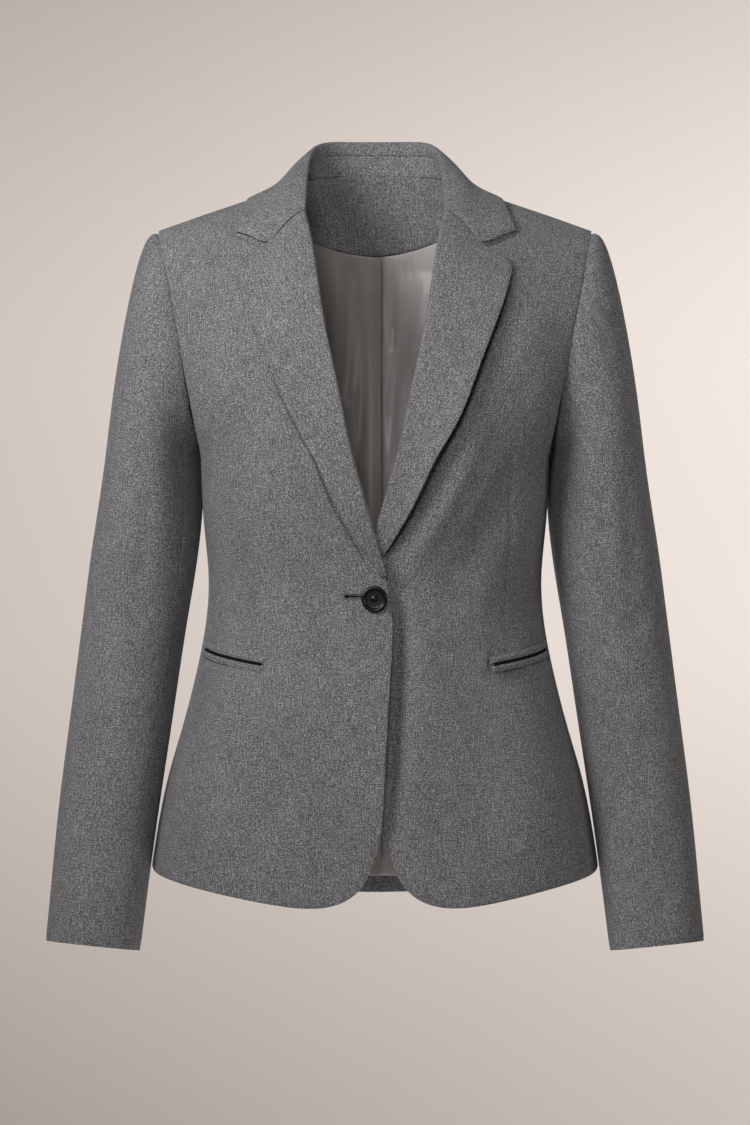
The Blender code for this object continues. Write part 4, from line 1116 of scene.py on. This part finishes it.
# ---- Button and buttonhole -----------------------------------------------------------------------
# One 22 mm button of polished black casein, turned with a raised rim, a dished middle and a small
# boss over its shank. It is drawn through a keyhole buttonhole, whose slit and eye are bound with
# close dark stitches on the over front.
BUTTON_PLACE = (-0.5, -108.4, -371.7)   # the middle of its back
BUTTON_SIDES = 96
BUTTON_PROFILE = (          # radius and height
    (7.6, 0.0),
    (9.6, 0.35),
    (10.6, 1.2),
    (11.0, 2.3),
    (10.85, 3.2),
    (10.3, 3.9),
    (9.5, 4.2),
    (8.8, 4.05),
    (8.35, 3.7),
    (7.95, 3.15),
    (7.6, 2.92),
    (7.2, 2.85),
    (6.4, 2.83),
    (4.6, 2.8),
    (3.2, 2.78),
    (2.7, 2.75),
    (2.45, 3.2),
    (2.1, 3.45),
    (1.4, 3.55),
    (0.5, 3.6),
)
black, tree = new_material("polished black button")
finish_material(
    tree,
    add_node(
        tree,
        "ShaderNodeBsdfPrincipled",
        values={
            "Base Color": linear("0b0b0c"),
            "Roughness": 0.3,
            "Specular IOR Level": 0.35,
            "Coat Weight": 0.15,
            "Coat Roughness": 0.12,
        },
    ),
)
bpy.ops.object.select_all(action="DESELECT")
middle = Vector(BUTTON_PLACE) * MM
bpy.ops.mesh.primitive_circle_add(
    vertices=BUTTON_SIDES,
    radius=BUTTON_PROFILE[0][0] * MM,
    fill_type="NGON",
    location=middle,
    rotation=(math.pi / 2, 0, 0),
)
button = bpy.context.object
button.name = button.data.name = "button_turned"
bpy.ops.object.mode_set(mode="EDIT")
bpy.ops.mesh.select_mode(type="EDGE")
bpy.ops.mesh.select_all(action="SELECT")
bpy.ops.mesh.region_to_loop()
for (radius, height), (next_radius, next_height) in zip(BUTTON_PROFILE, BUTTON_PROFILE[1:]):
    bpy.ops.mesh.extrude_edges_move(
        TRANSFORM_OT_translate={"value": (0, (height - next_height) * MM, 0)}
    )
    narrower = next_radius / radius
    bpy.ops.transform.resize(value=(narrower, 1, narrower), center_override=middle)
bpy.ops.mesh.edge_face_add()
bpy.ops.mesh.select_all(action="SELECT")
bpy.ops.mesh.normals_make_consistent(inside=False)
bpy.ops.object.mode_set(mode="OBJECT")
bpy.ops.object.transform_apply(location=True, rotation=True, scale=True)
bpy.ops.object.shade_smooth()
button.data.materials.append(black)
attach(button, "root")
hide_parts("button")

HOLE_HEIGHT = -369.6
HOLE_FROM, HOLE_TO = -10.0, -21.6   # the slit's ends, under the button and at the eye
HOLE_LIP = 0.85             # from the slit to the foot of a stitch
EYE_PLACE = -23.9           # the middle of the eye at the slit's far end
EYE_RADIUS = 2.3
EYE_START, EYE_ARC = 27, 306   # degrees round from the slit, and stitched on from there
STITCH_STEP = 0.62
STITCH_LENGTH = 1.5
STITCH_THICK = 0.36
STITCH_LIFT = 0.1           # off the cloth
IN_FRONT = -400.0           # further forward than any cloth
thread, tree = new_material("dark buttonhole thread")
finish_material(
    tree,
    add_node(
        tree,
        "ShaderNodeBsdfPrincipled",
        values={"Base Color": linear("454446"), "Roughness": 0.7, "Specular IOR Level": 0.3},
    ),
)
over_front = bpy.data.objects["front_right_cloth"]


def on_cloth(cloth, x, z, lift):
    """The place on the front of a cloth at (x, z), lifted off along its normal, and the normal."""
    _, place, normal, _ = cloth.ray_cast(Vector((x, IN_FRONT, z)) * MM, (0, 1, 0))
    return place + normal * lift * MM, normal


def stitch_row(name, cloth, feet, ways, length, thick):
    """A row of stitches on a cloth: one stitch, copied to each foot, lying along its way."""
    bpy.ops.object.select_all(action="DESELECT")
    bpy.ops.mesh.primitive_uv_sphere_add(segments=8, ring_count=6, radius=0.5)
    first = bpy.context.object
    row = []
    for (x, z), (way_x, way_z) in zip(feet, ways):
        middle = (x + way_x * length / 2, z + way_z * length / 2)
        place, normal = on_cloth(cloth, *middle, STITCH_LIFT)
        along = Vector((way_x, 0, way_z))
        along = (along - normal * along.dot(normal)).normalized()
        beside = normal.cross(along)
        turn = Matrix((beside, along, normal)).transposed().to_4x4()
        size = Matrix.Diagonal((thick * MM, length * MM, thick * MM, 1))
        stitch = first.copy()
        stitch.data = first.data.copy()
        stitch.data.transform(Matrix.Translation(place) @ turn @ size)
        scene.collection.objects.link(stitch)
        row.append(stitch)
    bpy.data.objects.remove(first)
    for stitch in row:
        stitch.select_set(True)
    bpy.context.view_layer.objects.active = row[0]
    bpy.ops.object.join()
    stitches = bpy.context.object
    stitches.name = stitches.data.name = name
    bpy.ops.object.shade_smooth()
    return stitches


feet, ways = [], []
for lip in (1, -1):
    for step in range(int((HOLE_FROM - HOLE_TO) / STITCH_STEP) + 1):
        feet.append((HOLE_FROM - step * STITCH_STEP, HOLE_HEIGHT + lip * HOLE_LIP))
        ways.append((0.0, float(lip)))
eye_steps = int(math.radians(EYE_ARC) * EYE_RADIUS / STITCH_STEP)
for step in range(eye_steps + 1):
    turn = math.radians(EYE_START + EYE_ARC * step / eye_steps)
    feet.append(
        (EYE_PLACE + EYE_RADIUS * math.cos(turn), HOLE_HEIGHT + EYE_RADIUS * math.sin(turn))
    )
    ways.append((math.cos(turn), math.sin(turn)))
buttonhole = stitch_row(
    "buttonhole_stitches", over_front, feet, ways, STITCH_LENGTH, STITCH_THICK
)
buttonhole.data.materials.append(thread)
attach(buttonhole, "root")

# A strip of the same near-black material fills the cut between the stitches: partly the cut edges,
# partly painted shade in the slit.
GIMP_WALL = 0.3
GIMP = (                    # the cut between the stitches: x, and half its height
    (-25.9, 0.4),
    (-25.3, 1.3),
    (-24.0, 1.9),
    (-22.7, 1.5),
    (-21.8, 0.7),
    (-18.0, 0.65),
    (-14.0, 0.65),
    (-10.0, 0.65),
)
slit_places = []
for rise in (-1, 0, 1):
    row = [on_cloth(over_front, x, HOLE_HEIGHT + rise * half, STITCH_LIFT) for x, half in GIMP]
    slit_places.append([list(place) for place, _ in row])
gimp = ribbon("buttonhole_gimp", np.array(slit_places))
thicken(gimp, GIMP_WALL, pocketing_and_painted_shade)
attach(gimp, "root")
